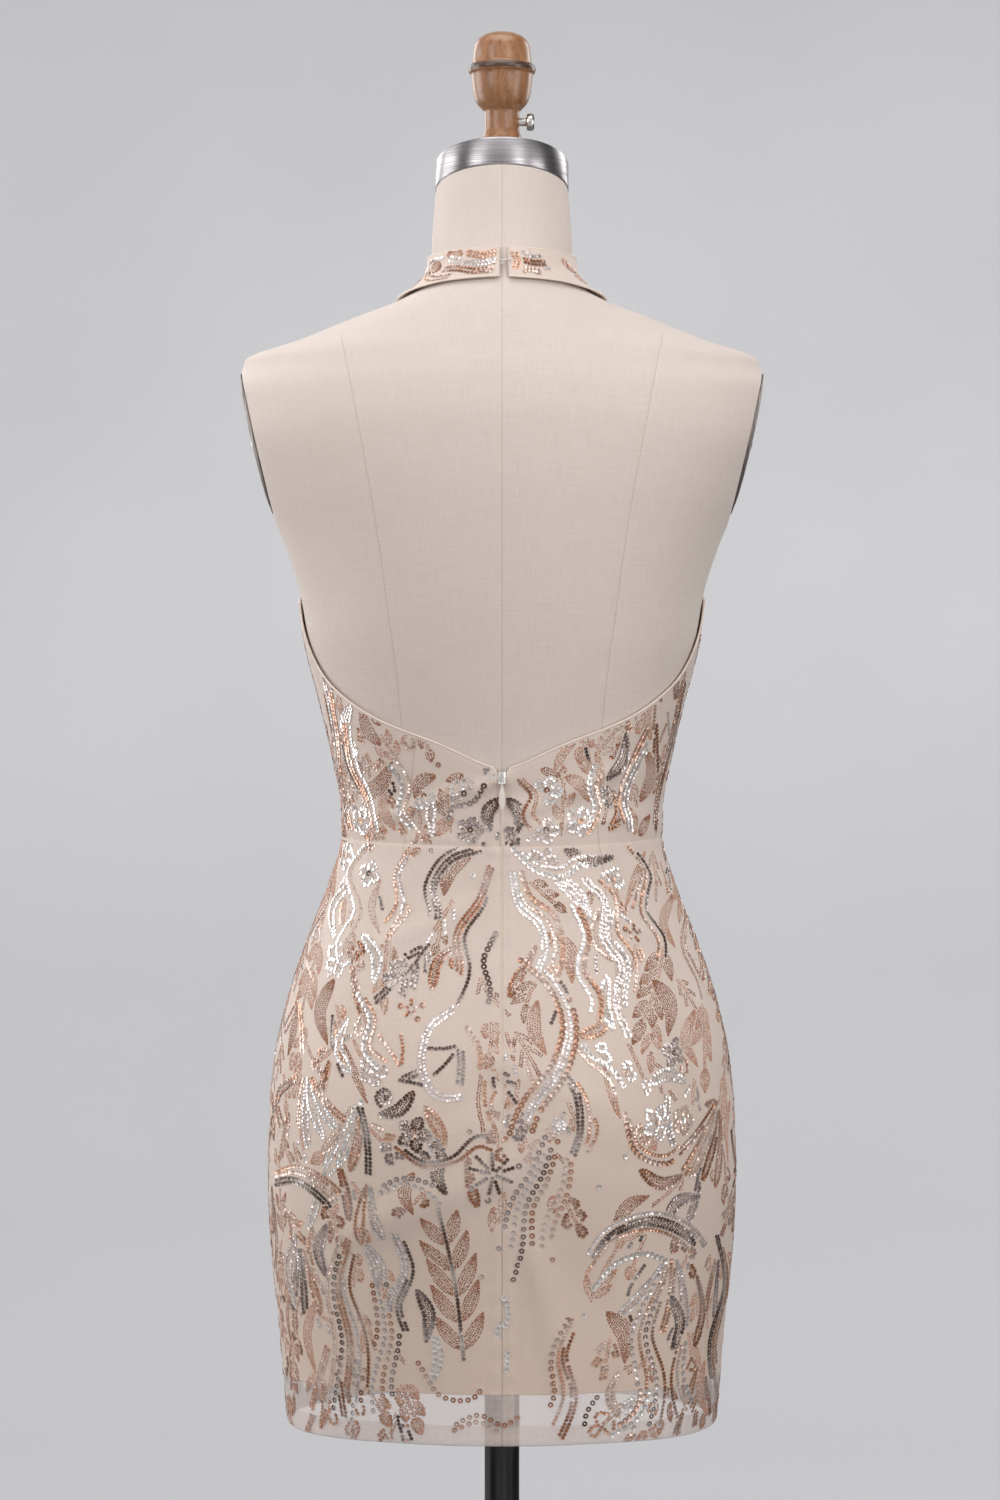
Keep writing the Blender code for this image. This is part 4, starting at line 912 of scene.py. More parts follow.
def panel_angles(z, start, end, columns):
    """Angles across a panel at each height, kept clear of its seams."""
    z, shares = np.asarray(z, float), shares_across(start, end, columns)
    first = start + (half_opening(z) if start == 0 else 0.15 * MM) * (1 / degree_long(start, z))
    last = end - (half_opening(z) if end == 360 else 0.15 * MM) * (1 / degree_long(end, z))
    return first[:, None] + (last - first)[:, None] * shares


def flat_of(angles, z):
    around = angles - 360 if np.mean(angles) > 265 else angles
    across = length_to(around, z) * MM
    return np.stack((across, np.broadcast_to(z, angles.shape) - HEM_Z), -1)


def skirt_sheet(name, panel, heights, lifts, columns, wall, material):
    start, end = PANELS[panel]
    angles = panel_angles(heights, start, end, columns)
    share = ((heights - HEM_Z) / (WAIST_Z - HEM_Z))[:, None]
    z = heights[:, None] - share * waist_dip(angles)
    points = cloth(angles, z, lifts[:, None])
    return dress_in(walled(grid(name, points, flat_of(angles, z)), wall), material)


lining_heights = np.concatenate((HEM_Z + LINING_ABOVE_HEM + np.array([0, 0.6, 8]) * MM,
                                 np.linspace(0.672, 1.0345, 40), [WAIST_Z - 0.2 * MM]))
lining_lifts = EASE + 0.3 * MM + np.where(lining_heights < 0.6645, 0.15, 0.0) * MM
outside = HEM_Z + np.array([1.0, 4, 8, 12, 13.6, 14.4, 18, 22, 26, 30, 34, 38]) * MM
below_waist = [1.028, 1.031, 1.0335, 1.0355, 1.0366, 1.0371]
outside = np.concatenate((outside, np.linspace(0.663, 1.024, 70), below_waist))
inside = HEM_Z + np.array([HEM_FOLD, 10.5, 7.0, 3.5, 1.0]) * MM
net_heights = np.concatenate((inside, [HEM_Z + 0.2 * MM], outside))
net_lifts = (np.full(5, -0.05), [0.2], np.full(len(outside) - 2, 0.5), [0.44, 0.25])
net_lifts = NET_LIFT + np.concatenate(net_lifts) * MM
skirt = {}
for panel in PANELS:
    skirt[panel] = skirt_sheet("skirt_net_" + panel, panel, net_heights, net_lifts, 42, 0.3 * MM, net)
    settle(skirt[panel], "dress_and_form", "skirt_" + panel, slot="net")
    skirt[panel, "lining"] = skirt_sheet("skirt_lining_" + panel, panel, lining_heights, lining_lifts, 20,
                                         0.5 * MM, lining)
    settle(skirt[panel, "lining"], "dress_and_form", "lining_" + panel, slot="lining")
print("skirt:", sum(len(o.data.polygons) for o in skirt.values()), "faces")

# %% [markdown]
# Below the lining a seam's two spare edges show through the net as one denser strip. The centre back
# seam and each side seam have one, pressed flat behind the cloth.

# %% Seam allowances
def allowance(name, angle, half_width, shift):
    heights = np.linspace(HEM_Z + 1.5 * MM, HEM_Z + 60 * MM, 14)[:, None]
    per_mm = 1 / degree_long(angle, 0.64)
    angles = angle + per_mm * MM * (shift + np.linspace(-half_width, half_width, 7)) + 0 * heights
    points = cloth(angles, heights, NET_LIFT - 0.9 * MM)
    piece = walled(grid(name, points, flat_of(angles, heights)), 0.25 * MM)
    return settle(dress_in(piece, net), "dress_and_form", slot="net")


allowances = {
    "back_right": [allowance("centre_back_allowance", 0, 4.8, 4.0)],
    "back_left": [allowance("left_side_allowance", 270, 7.0, 0.0)],
    "front": [allowance("right_side_allowance", 90, 7.0, 0.0)],
}

# %% [markdown]
# ## The bodice
# Net and lining are bagged out together, so the bodice is one opaque sheet with a rolled edge. The two
# backs stop low; the front rises to the neck as a halter. Its rows are level up to the underarm and
# then fan out, so that their ends follow the armhole.

# %% The bodice
BACK_NECKLINE = np.array([(0, 1.0865), (4, 1.0885), (21, 1.1045), (42, 1.1215), (56, 1.1370), (66, 1.1510),
                          (73, 1.1660), (80, 1.1840), (90, UNDERARM_Z)])
BAND_LOW = np.array([(0, 1.4320), (40, 1.4300), (65, 1.4270), (90, 1.4235), (120, 1.4190), (150, 1.4020),
                     (180, 1.3860)])
BAND_HIGH = np.array([(0, 1.4550), (40, 1.4545), (65, 1.4540), (90, 1.4535), (120, 1.4490), (150, 1.4360),
                      (180, 1.4240)])
# Share of the way up the armhole, angle and height.
ARMHOLE = np.array([(0.00, 90, UNDERARM_Z), (0.06, 103, 1.2130), (0.14, 115, 1.2290), (0.28, 130, 1.2590),
                    (0.43, 141, 1.2910), (0.58, 149, 1.3240), (0.73, 153, 1.3560), (0.87, 152, 1.3860),
                    (1.00, 140, 1.4075)])


def armhole(share):
    """Angle and height at a share of the way up the armhole."""
    return (smooth_curve(ARMHOLE[:, 0], ARMHOLE[:, k], share) for k in (1, 2))


def edge_height(edge, angle):
    folded = np.abs((np.asarray(angle, float) + 180) % 360 - 180)
    return smooth_curve(edge[:, 0], edge[:, 1], folded)


def back_edge(angle):
    """The back neckline's height; it turns down on both sides of the zip's slider."""
    from_zip = np.abs(millimetres_round(angle, 1.08))
    return edge_height(BACK_NECKLINE, angle) - 10.5 * MM * np.clip((6.8 - from_zip) / 5.2, 0, 1) ** 2


def bodice_back(name, panel):
    start, end = PANELS[panel]
    low_z = WAIST_Z - 2.0 * MM
    angles = np.repeat(panel_angles([low_z], start, end, 38), 30, axis=0)
    low = low_z - waist_dip(angles)
    shares = np.concatenate(([0, 0.012, 0.03, 0.06], np.linspace(0.1, 0.96, 23), [0.98, 0.992, 1.0]))[:, None]
    z = low + shares * (back_edge(angles) - low)
    lift = EASE + np.where(shares > 0.97, 0.1, 0.3) * MM
    return dress_in(walled(grid(name, cloth(angles, z, lift), flat_of(angles, z)), 1.2 * MM), net_on_lining)


def halter_height(share, angle):
    return UNDERARM_Z + share * (edge_height(BAND_LOW, angle) - 0.8 * MM - UNDERARM_Z)


def bodice_front(name):
    low = np.concatenate(([-2, 0.5, 3, 6], np.linspace(9, 168, 30))) * MM + WAIST_Z
    low = np.minimum(low, UNDERARM_Z)
    angles = panel_angles(low, 90, 270, 44)
    z = np.repeat(low[:, None], angles.shape[1], axis=1)
    lift = np.full(angles.shape, EASE + 0.3 * MM)
    upward = (np.linspace(0, 1, 44)[1:] ** 1.5)[:, None]
    edge_angle, edge_z = armhole(upward)
    high = edge_angle + (360 - 2 * edge_angle) * shares_across(90, 270, 44)
    from_centre = (high - 180) / (180 - edge_angle)
    correction = (edge_z - halter_height(upward, edge_angle)) * from_centre ** 2
    high_z = halter_height(upward, high) + correction
    high_lift = EASE + 0.3 * MM + (HALTER_EASE - EASE) * np.minimum(1, 20 * upward) + 0 * high
    angles, z, lift = (np.concatenate(pair) for pair in ((angles, high), (z, high_z), (lift, high_lift)))
    sheet = grid(name, cloth(angles, z, lift), flat_of(angles, z))
    return dress_in(walled(sheet, 1.2 * MM), net_on_lining)


bodice = {"back_right": bodice_back("bodice_cloth_back_right", "back_right"),
          "front": bodice_front("bodice_cloth_front"),
          "back_left": bodice_back("bodice_cloth_back_left", "back_left")}
for panel, sheet in bodice.items():
    settle(sheet, "dress_and_form", "bodice_" + panel, slot="net")
print("bodice:", sum(len(o.data.polygons) for o in bodice.values()), "faces")

# %% [markdown]
# A rolled edge finishes the neckline and the armholes, where net and lining are turned in together.
# It is a thin cord of cloth along the edge, and it catches the light as one bright line.

# %% Rolled edges
def edge_cord(name, angles, z, lift, radius):
    points = cloth(angles, z, lift)
    return settle(dress_in(tube(name, points, radius), binding), "dress_and_form", slot="lining")


bound = {}
for panel in ("back_right", "back_left"):
    per_mm = MM / degree_long(0.0, 1.08)
    angles = np.concatenate((np.linspace(0.9, 7.0, 14) * per_mm, np.linspace(8 * per_mm, 89.9, 60)))
    angles = angles if panel == "back_right" else 360 - angles
    bound[panel] = edge_cord("neckline_edge_" + panel, angles, back_edge(angles), EASE + 0.9 * MM, 0.75 * MM)
shares = np.linspace(0.0, 1.0, 70) ** 1.5
edge_angles, edge_heights = armhole(shares)
edge_lifts = EASE + 0.8 * MM + (HALTER_EASE - EASE) * np.minimum(1, 20 * shares)
armhole_edges = [
    edge_cord("armhole_edge_right", edge_angles, edge_heights, edge_lifts, 0.9 * MM),
    edge_cord("armhole_edge_left", 360 - edge_angles, edge_heights, edge_lifts, 0.9 * MM),
]

# %% [markdown]
# ## The neckband
# A straight band of net over nude cloth goes round the neck and closes at the back with a hook and an
# eye. Its lower edge is piped and its upper edge is turned over, so the sheet swells between them.

# %% The neckband
BAND_GAP = (-1.4, 4.0)


def make_neckband():
    per_mm = MM / degree_long(0.0, 1.443)
    angles = np.linspace(BAND_GAP[1] * per_mm, 360 + BAND_GAP[0] * per_mm, 150)[None, :]
    share = np.linspace(0, 1, 11)[:, None]
    low, high = edge_height(BAND_LOW, angles), edge_height(BAND_HIGH, angles)
    z = low + share * (high - low)
    fold = 0.22 * np.sin(np.radians(angles * 9 + 40 * share)) * np.sin(math.pi * share) ** 2
    lift = HALTER_EASE + (0.25 + 0.35 * np.sin(math.pi * share) ** 0.7 + fold) * MM
    flat = np.stack((angles / 360 * 0.33 + 0 * share, z - HEM_Z), -1)
    band = dress_in(walled(grid("neckband_cloth", cloth(angles, z, lift), flat), 0.7 * MM), net_on_lining)
    settle(band, "dress_and_form", "neckband", slot="net")
    lift = HALTER_EASE + 0.75 * MM
    piping = edge_cord("neckband_piping", angles[0], low[0] + 0.6 * MM, lift, 0.85 * MM)
    turned_edge = edge_cord("neckband_top_edge", angles[0], high[0] - 0.3 * MM, lift - 0.1 * MM, 0.6 * MM)
    return band, [piping, turned_edge]


neckband, band_edges = make_neckband()

# %% [markdown]
# ## Zip, slider, pull, hook and eye
# The zip is an invisible one: two rolled edges of cloth meet over its coil, so from outside it is a
# fine line with a small slider at the top. The pull tab hangs on the slider's pin and swings.

# %% Zip chain
chain_heights = np.linspace(ZIP_END_Z - 17 * MM, ZIP_TOP_Z - 11 * MM, 96)
chain_points = cloth(0.0, chain_heights, NET_LIFT + 0.35 * MM)
chain_edges = []
for side in (-1, 1):
    wander = 0.06 * MM * np.sin(chain_heights * 900 + side)
    points = chain_points + np.stack((side * 0.42 * MM + wander, 0 * wander, 0 * wander), -1)
    chain_edges.append(tube(f"zip_roll_{side + 1}", points, 0.4 * MM))
only(chain_edges[0])
chain_edges[1].select_set(True)
bpy.ops.object.join()
zip_chain = bpy.context.object
zip_chain.name = zip_chain.data.name = "zip_rolled_edges"
settle(dress_in(zip_chain, binding), "dress_and_form", "zip_chain", slot="zip")

# %% Slider
PIN = Vector((0, -0.087325, 1.0765))
nothing_selected()
SLIDER_BACK_Y = PIN.y + 3.5 * MM - 0.8 * MM
bpy.ops.mesh.primitive_cube_add(size=1, location=(0, SLIDER_BACK_Y - 0.6 * MM, PIN.z + 3.1 * MM),
                                scale=(5.2 * MM, 1.2 * MM, 10.4 * MM))
slider = bpy.context.object
slider.name = slider.data.name = "slider_body"
bpy.ops.object.transform_apply(location=True, rotation=True, scale=True)
edit("DESELECT")
done()
for face in slider.data.polygons:
    face.select = face.normal.y < -0.9
edit()
bpy.ops.mesh.inset(thickness=0.7 * MM, depth=0.0)
bpy.ops.mesh.extrude_region_move(TRANSFORM_OT_translate={"value": (0, -0.35 * MM, 0)})
bpy.ops.transform.resize(value=(0.8, 1, 0.9))
done()
modified(slider, "BEVEL", width=0.3 * MM, segments=2)
parts = [slider]
for side in (-1, 1):
    nothing_selected()
    bpy.ops.mesh.primitive_cylinder_add(vertices=24, radius=1.5 * MM, depth=0.85 * MM, location=(
        side * 1.95 * MM, PIN.y + 0.6 * MM, PIN.z), rotation=(0, math.radians(90), 0))
    cheek = bpy.context.object
    edit()
    bpy.ops.mesh.bevel(offset=0.12 * MM, segments=2, affect="EDGES")
    done()
    parts.append(cheek)
pin = tube("slider_pin", np.array([(x * MM, PIN.y, PIN.z) for x in (-2.2, 0, 2.2)]), 0.4 * MM, 12)
only(slider)
for part in [*parts[1:], pin]:
    part.select_set(True)
bpy.ops.object.join()
bpy.ops.object.shade_smooth_by_angle(angle=math.radians(35))
settle(dress_in(slider, nickel), "dress_and_form", "zip_slider", slot="nickel")

# %% Pull tab
PULL_LENGTH = 19 * MM
# Share of the way down the tab, and half its width there in millimetres.
TAB = np.array([(0.03, 0.9), (0.12, 0.9), (0.28, 1.5), (0.48, 2.1), (0.66, 2.3), (0.82, 1.95), (0.94, 1.15),
                (1.0, 0.3)])
shares = np.linspace(0.03, 1.0, 18)
half_widths = smooth_curve(TAB[:, 0], TAB[:, 1], shares) * MM
nothing_selected()
bpy.ops.mesh.primitive_plane_add(size=1 * MM, location=(0, PIN.y, PIN.z - shares[0] * PULL_LENGTH),
                                 rotation=(math.radians(90), 0, 0))
pull = bpy.context.object
pull.name = pull.data.name = "pull_tab_enamelled"
bpy.ops.object.transform_apply(location=True, rotation=True, scale=True)
edit()
bpy.ops.mesh.delete(type="ONLY_FACE")
bpy.ops.mesh.select_all(action="DESELECT")
done()
top_z = max(v.co.z for v in pull.data.vertices)
for vertex in pull.data.vertices:
    vertex.select = vertex.co.z > top_z - 0.1 * MM
edit("INVERT")
bpy.ops.mesh.delete(type="VERT")
bpy.ops.mesh.select_all(action="SELECT")
bpy.ops.transform.resize(value=(half_widths[0] / (0.5 * MM), 1, 1))
for before, after, step in zip(half_widths, half_widths[1:], np.diff(shares)):
    bpy.ops.mesh.extrude_edges_move(TRANSFORM_OT_translate={"value": (0, 0, -step * PULL_LENGTH)})
    bpy.ops.transform.resize(value=(after / before, 1, 1))
done()
walled(pull, 1.0 * MM, 0.0)
modified(pull, "BEVEL", width=0.28 * MM, segments=2, limit_method="ANGLE")
nothing_selected()
bpy.ops.mesh.primitive_cylinder_add(vertices=24, radius=1.1 * MM, depth=2.1 * MM, location=PIN,
                                    rotation=(0, math.radians(90), 0))
edit()
bpy.ops.mesh.bevel(offset=0.15 * MM, segments=2, affect="EDGES")
done()
pull.select_set(True)
bpy.context.view_layer.objects.active = pull
bpy.ops.object.join()
bpy.ops.object.shade_smooth_by_angle(angle=math.radians(40))
pull_coat, t, s = finish("nude pull coat", 0.3, Coat_Weight=0.5, Coat_Roughness=0.15)
place = t.add("TexCoord", out=3)
worn = placed(t, handling, Vector=place, Scale=300.0)
colour = t.mix(t.sum("MULTIPLY", worn["Scratch"], 0.6), rgb(226, 215, 205), rgb(190, 182, 174))
surfaced(t, s, colour, (worn["Smudge"], 0.0, 1.0, 0.24, 0.42), worn["Scratch"], 0.00004)
settle(dress_in(pull, pull_coat), "pull_tab", "zip_pull", slot="zip")

# %% Hook and eye
BAND_MIDDLE_Z = (BAND_LOW[0, 1] + BAND_HIGH[0, 1]) / 2
band_origin, band_out = Vector(skin(0.0, BAND_MIDDLE_Z)), Vector(outward(0.0, BAND_MIDDLE_Z))
band_up = band_out.cross(Vector((1, 0, 0))).normalized()


def on_band(x, out, up):
    away = np.array([x, 0, 0]) + out * np.array(band_out) + up * np.array(band_up)
    return np.array(band_origin) + MM * away


turns = np.radians(np.linspace(-115, 115, 21))
eye = tube("eye_wire", np.array([on_band(-0.5 + 1.7 * math.cos(a), 2.6, 1.8 * math.sin(a)) for a in turns]),
           0.38 * MM, 10)
settle(dress_in(eye, nickel), "dress_and_form", "neck_eye", slot="nickel")
hook_way = np.array([(7.4, 4.25, 0.55), (5.5, 4.25, 0.5), (2.5, 4.25, 0.35), (0.9, 4.25, 0.0),
                     (0.0, 4.0, 0.0), (-0.45, 3.5, 0.0), (-0.5, 2.9, 0.0)])
steps = np.arange(len(hook_way))
fine = np.linspace(0, len(hook_way) - 1, 25)
hook_way = np.stack([smooth_curve(steps, hook_way[:, k], fine) for k in range(3)], -1)
hook = tube("hook_wire", np.array([on_band(*row) for row in hook_way]), 0.38 * MM, 10)
settle(dress_in(hook, nickel), "dress_and_form", "neck_hook", slot="nickel")

# %% [markdown]
# ## Sequins
# The net is sewn by machine with chains of sequins that follow leaf, feather and tendril lines. Four
# kinds are used: flat rings in a close chain, smaller rings sewn apart, small cups that overlap along
# a row, and fine matt seeds that fill a leaf. Thousands are needed, so each has only a few faces, and
# all that lie on one cut piece are joined in one mesh. Each keeps its own gloss, and its own colour
# with painted highlights and painted shade in it.

# %% Tones and kinds
# The colour of each tone's film, and its roughness.
TONES = {
    # The near-white tone is a painted highlight: sequins sewn in it stand for glare from the lamps.
    "silver": (rgb(240, 230, 228), 0.22), "ice": (rgb(255, 252, 250), 0.22),
    "steel": (rgb(178, 163, 163), 0.22), "gun": (rgb(118, 101, 97), 0.22),
    "rose": (rgb(232, 180, 152), 0.25), "champagne": (rgb(252, 224, 208), 0.24),
    "copper": (rgb(188, 130, 98), 0.25), "dark": (rgb(98, 72, 59), 0.23),
}
# Radius and pitch along a row in millimetres, and the shape.
KINDS = {
    "ring": (2.2, 4.0, "ring"), "single": (2.0, 5.2, "ring"),
    "cup": (1.45, 2.6, "cup"), "seed": (0.9, 1.6, "seed"),
}
# How a strand is sewn: the kind of each of its rows and how far aside of the middle it runs.
# 1, 2: cups; 3, 4, 5: blades outlined in cups; l: an open loop; o, p: rings; d: rings apart;
# s to w: matt leaves.
STRANDS = {
    "1": ("even", [("cup", (0,))]), "2": ("even", [("cup", (-1.5, 1.5))]),
    "3": ("plume", [("cup", (-2.7, 2.7)), ("seed", (-0.8, 0.8))]), "l": ("plume", [("cup", (-3.1, 3.1))]),
    "4": ("leaf", [("cup", (-3.6, 3.6)), ("seed", (-1.7, 0, 1.7))]),
    "5": ("leaf", [("cup", (-4.6, -1.5, 1.5, 4.6))]),
    "o": ("even", [("ring", (0,))]), "p": ("leaf", [("ring", (-2.2, 2.2))]),
    "d": ("even", [("single", (0,))]),
    "s": ("even", [("seed", (-0.8, 0.8))]), "n": ("leaf", [("seed", (-2.6, -0.9, 0.9, 2.6))]),
    "m": ("leaf", [("seed", (-4.3, -2.6, -0.9, 0.9, 2.6, 4.3))]),
    "w": ("leaf", [("seed", (-6, -4.3, -2.6, -0.9, 0.9, 2.6, 4.3, 6))]),
}
WIDTHS = {
    "leaf": lambda t: 3.0 * np.clip(t, 0, 1) ** 0.7 * np.clip(1 - t, 0, 1) ** 0.9,
    "plume": lambda t: np.clip(t / 0.6, 0, 1) ** 0.7 * np.clip((1 - t) / 0.16, 0, 1) ** 0.5,
    "even": lambda t: np.ones_like(t),
}
# Places that are taken are kept in square cells of CELL millimetres; two sequins may lie as close as
# CROWDING times the sum of their reaches.
CELL, CROWDING = 4, 0.86
chance = np.random.default_rng(20240611)
laid = {shape: [] for shape in ("ring", "cup", "seed")}
taken = {}


def through(points, count=60):
    """A smooth line through a few points."""
    p = np.asarray(points, float)
    if len(p) == 2:
        return p[0] + (p[1] - p[0]) * np.linspace(0, 1, count)[:, None]
    chord = np.concatenate(([0], np.cumsum(np.linalg.norm(np.diff(p, axis=0), axis=1))))
    slope = np.gradient(p, chord, axis=0)
    at = np.linspace(0, chord[-1], count)
    i = np.clip(np.searchsorted(chord, at, side="right") - 1, 0, len(p) - 2)
    step = (chord[i + 1] - chord[i])[:, None]
    return curve_between(p, slope, i, (at - chord[i])[:, None] / step, step)


def sideways(line):
    """The direction to the left of a line at each of its points."""
    along = np.gradient(line, axis=0)
    along /= np.maximum(np.linalg.norm(along, axis=1, keepdims=True), 1e-9)
    return np.stack((-along[:, 1], along[:, 0]), -1)


# %% A row, and room for it
def has_room(place, radius):
    """Whether a sequin would lie clear of those of the strands sewn before."""
    i, j = int(place[0] // CELL), int(place[1] // CELL)
    near = [other for a in (i - 1, i, i + 1) for b in (j - 1, j, j + 1) for other in taken.get((a, b), ())]
    return all(math.hypot(place[0] - x, place[1] - y) > CROWDING * (radius + reach) for x, y, reach in near)


def sew_rows(lines, tone):
    """Sews rows side by side where there is room; a strand that would be mostly hidden is left out."""
    rows, room = [], []
    for number, (kind, line) in enumerate(lines):
        radius, pitch, shape = KINDS[kind]
        way = np.concatenate(([0], np.cumsum(np.linalg.norm(np.diff(line, axis=0), axis=1))))
        at = np.arange(pitch * (0.25 + 0.5 * (number % 2)), max(way[-1], 0.8 * pitch), pitch)
        at = at + chance.normal(0, 0.04 * pitch, len(at))
        place = np.stack([np.interp(at, way, line[:, k]) for k in (0, 1)], -1)
        ahead = np.stack([np.interp(at + 0.5, way, line[:, k]) - np.interp(at - 0.5, way, line[:, k])
                          for k in (0, 1)], -1) + [1e-6, 0]
        place += chance.normal(0, 0.05 * radius, place.shape)
        rows.append((radius, shape, at, place, ahead))
        room.append(np.array([has_room(p, radius) for p in place]))
    if np.concatenate(room).mean() < 0.5:
        return
    colour, gloss = TONES[tone]
    glint_phase, glint_length = chance.uniform(0, 7), chance.uniform(6, 12)
    for (radius, shape, at, place, ahead), free in zip(rows, room):
        kept = np.zeros(len(at), bool)
        near = []
        for k in np.flatnonzero(free):
            kept[k] = all(math.hypot(*(place[k] - other)) > 1.5 * radius for other in near)
            if kept[k]:
                near.append(place[k])
        # Painted highlight: each strand whitens in slow waves along its length, as if catching the lamps.
        painted_glint = 0.5 + 0.5 * np.sin(at / glint_length + glint_phase)
        pale = (0.5 if shape != "seed" else 0.08) * painted_glint[:, None] ** 2
        tint = np.array(colour[:3]) * (0.92 + chance.normal(0, 0.07, (len(at), 1)))
        tint = tint * (1 - pale) + np.array(rgb(255, 246, 241)[:3]) * pale
        if shape == "seed":
            tint *= [0.84, 0.78, 0.76] * (1 + chance.normal(0, 0.16, (len(at), 1)))
        shine = np.clip(gloss + chance.normal(0, 0.03, len(at)), 0.1, 0.5)
        laid[shape].append(np.c_[place, ahead, np.full(len(at), radius), tint, shine][kept])
        for x, y in place[kept]:
            taken.setdefault((int(x // CELL), int(y // CELL)), []).append((x, y, radius))


def strand(line, word):
    """Sews a strand such as "rose/2" along a line."""
    tone, code = word.split("/")
    outline, parts = STRANDS[code]
    share, aside = WIDTHS[outline](np.linspace(0, 1, len(line)))[:, None], sideways(line)
    sew_rows([(kind, line + aside * share * off) for kind, offs in parts for off in offs], tone)


def spray(points, apart, words):
    """Strands that leave one stem side by side and part towards their tips."""
    line = through(points, 90)
    t = np.linspace(0, 1, len(line))[:, None]
    aside, words = sideways(line), words.split()
    for k, word in enumerate(words):
        away = (k - (len(words) - 1) / 2) * apart * (0.45 + 0.85 * t)
        away = away + chance.uniform(0.4, 1.6) * t * np.sin(chance.uniform(4, 7) * t + chance.uniform(0, 6))
        first = int(len(line) * chance.uniform(0, 0.12))
        last = int(len(line) * chance.uniform(0.74, 1.0))
        strand((line + aside * away)[first * (k > 0):last], word)


def heading_way(degrees):
    """A direction on the flat cloth: 0 is up and 90 is to the wearer's right."""
    return np.array([math.sin(math.radians(degrees)), math.cos(math.radians(degrees))])


def blade(base, heading, length, bend, word):
    """A strand from its base along a heading; bend swings its tip to one side."""
    go, side = heading_way(heading), heading_way(heading + 90)
    strand(through([base + go * length * s + side * bend * s * s for s in (0, 0.35, 0.7, 1)], 40), word)


def fan(base, heading, spread, length, bend, words):
    """Feather blades that spread from one base."""
    words = words.split()
    for k, word in enumerate(words):
        share = k / max(1, len(words) - 1) - 0.5
        size = length * (1 - 0.4 * abs(share) + 0.12 * math.sin(2.3 * k + 1))
        start = base + heading_way(heading + 90) * share * 0.16 * length
        blade(start, heading + spread * share, size, bend * (1 + 0.35 * math.sin(k)), word)


def sprig(base, heading, length, pairs, leaf, bend, word, stem_word="rose/s"):
    """A stem with leaves in pairs and one at its tip."""
    go, side = heading_way(heading), heading_way(heading + 90)
    stem = through([base + go * length * s + side * bend * s * s for s in (0, 0.5, 1)], 30)
    strand(stem, stem_word)
    swing = math.degrees(math.atan2(2 * bend, length))
    for k in range(pairs):
        s = 0.1 + 0.84 * k / pairs
        size = leaf * (0.72 + 0.36 * math.sin(math.pi * (s + 0.15)))
        for way in (-1, 1):
            leaf_heading = heading + swing * s + way * chance.uniform(36, 48)
            blade(stem[int(s * 29)], leaf_heading, size, -way * size * 0.16, word)
    blade(stem[-1], heading + swing, leaf * 0.9, 0, word)


def blossom(base, radius, petals, tone, middle):
    sew_rows([("ring", np.array([base, base + [0.1, 0.1]]))], middle)
    for k in range(petals):
        turn = 360 * k / petals + 20
        blade(base + heading_way(turn) * 2.8, turn, radius, 0.12 * radius, tone + "/4")


def whorl(base, radius, tone):
    turns = np.linspace(0, 2 * math.pi * radius / 2.4, int(14 * radius))
    reach = radius * turns / turns[-1]
    sew_rows([("cup", base + np.stack((np.cos(turns), np.sin(turns)), -1) * reach[:, None])], tone)


def starburst(base, radius, arms, tone):
    for k in range(arms):
        way = heading_way(360 * k / arms + chance.uniform(-9, 9))
        end = base + way * radius * chance.uniform(0.8, 1.1)
        sew_rows([("cup", through([base + way * 2.5, end], 8))], tone)
        sew_rows([("ring", through([end + way * 2.6, end + way * 2.7], 4))], tone)


# %% [markdown]
# ## The skirt's design
# The design is this dress's own arrangement of ordinary leaf sprigs, feathers, tendrils and small
# flowers: sprigs droop from the waist and down the hips, feathers spread over the seat, one large
# sprig rises between them, and strands drip to the hem. Each row of a table is one motif. Places are
# millimetres to the wearer's right of the centre line, seen square on, and millimetres up from the hem.

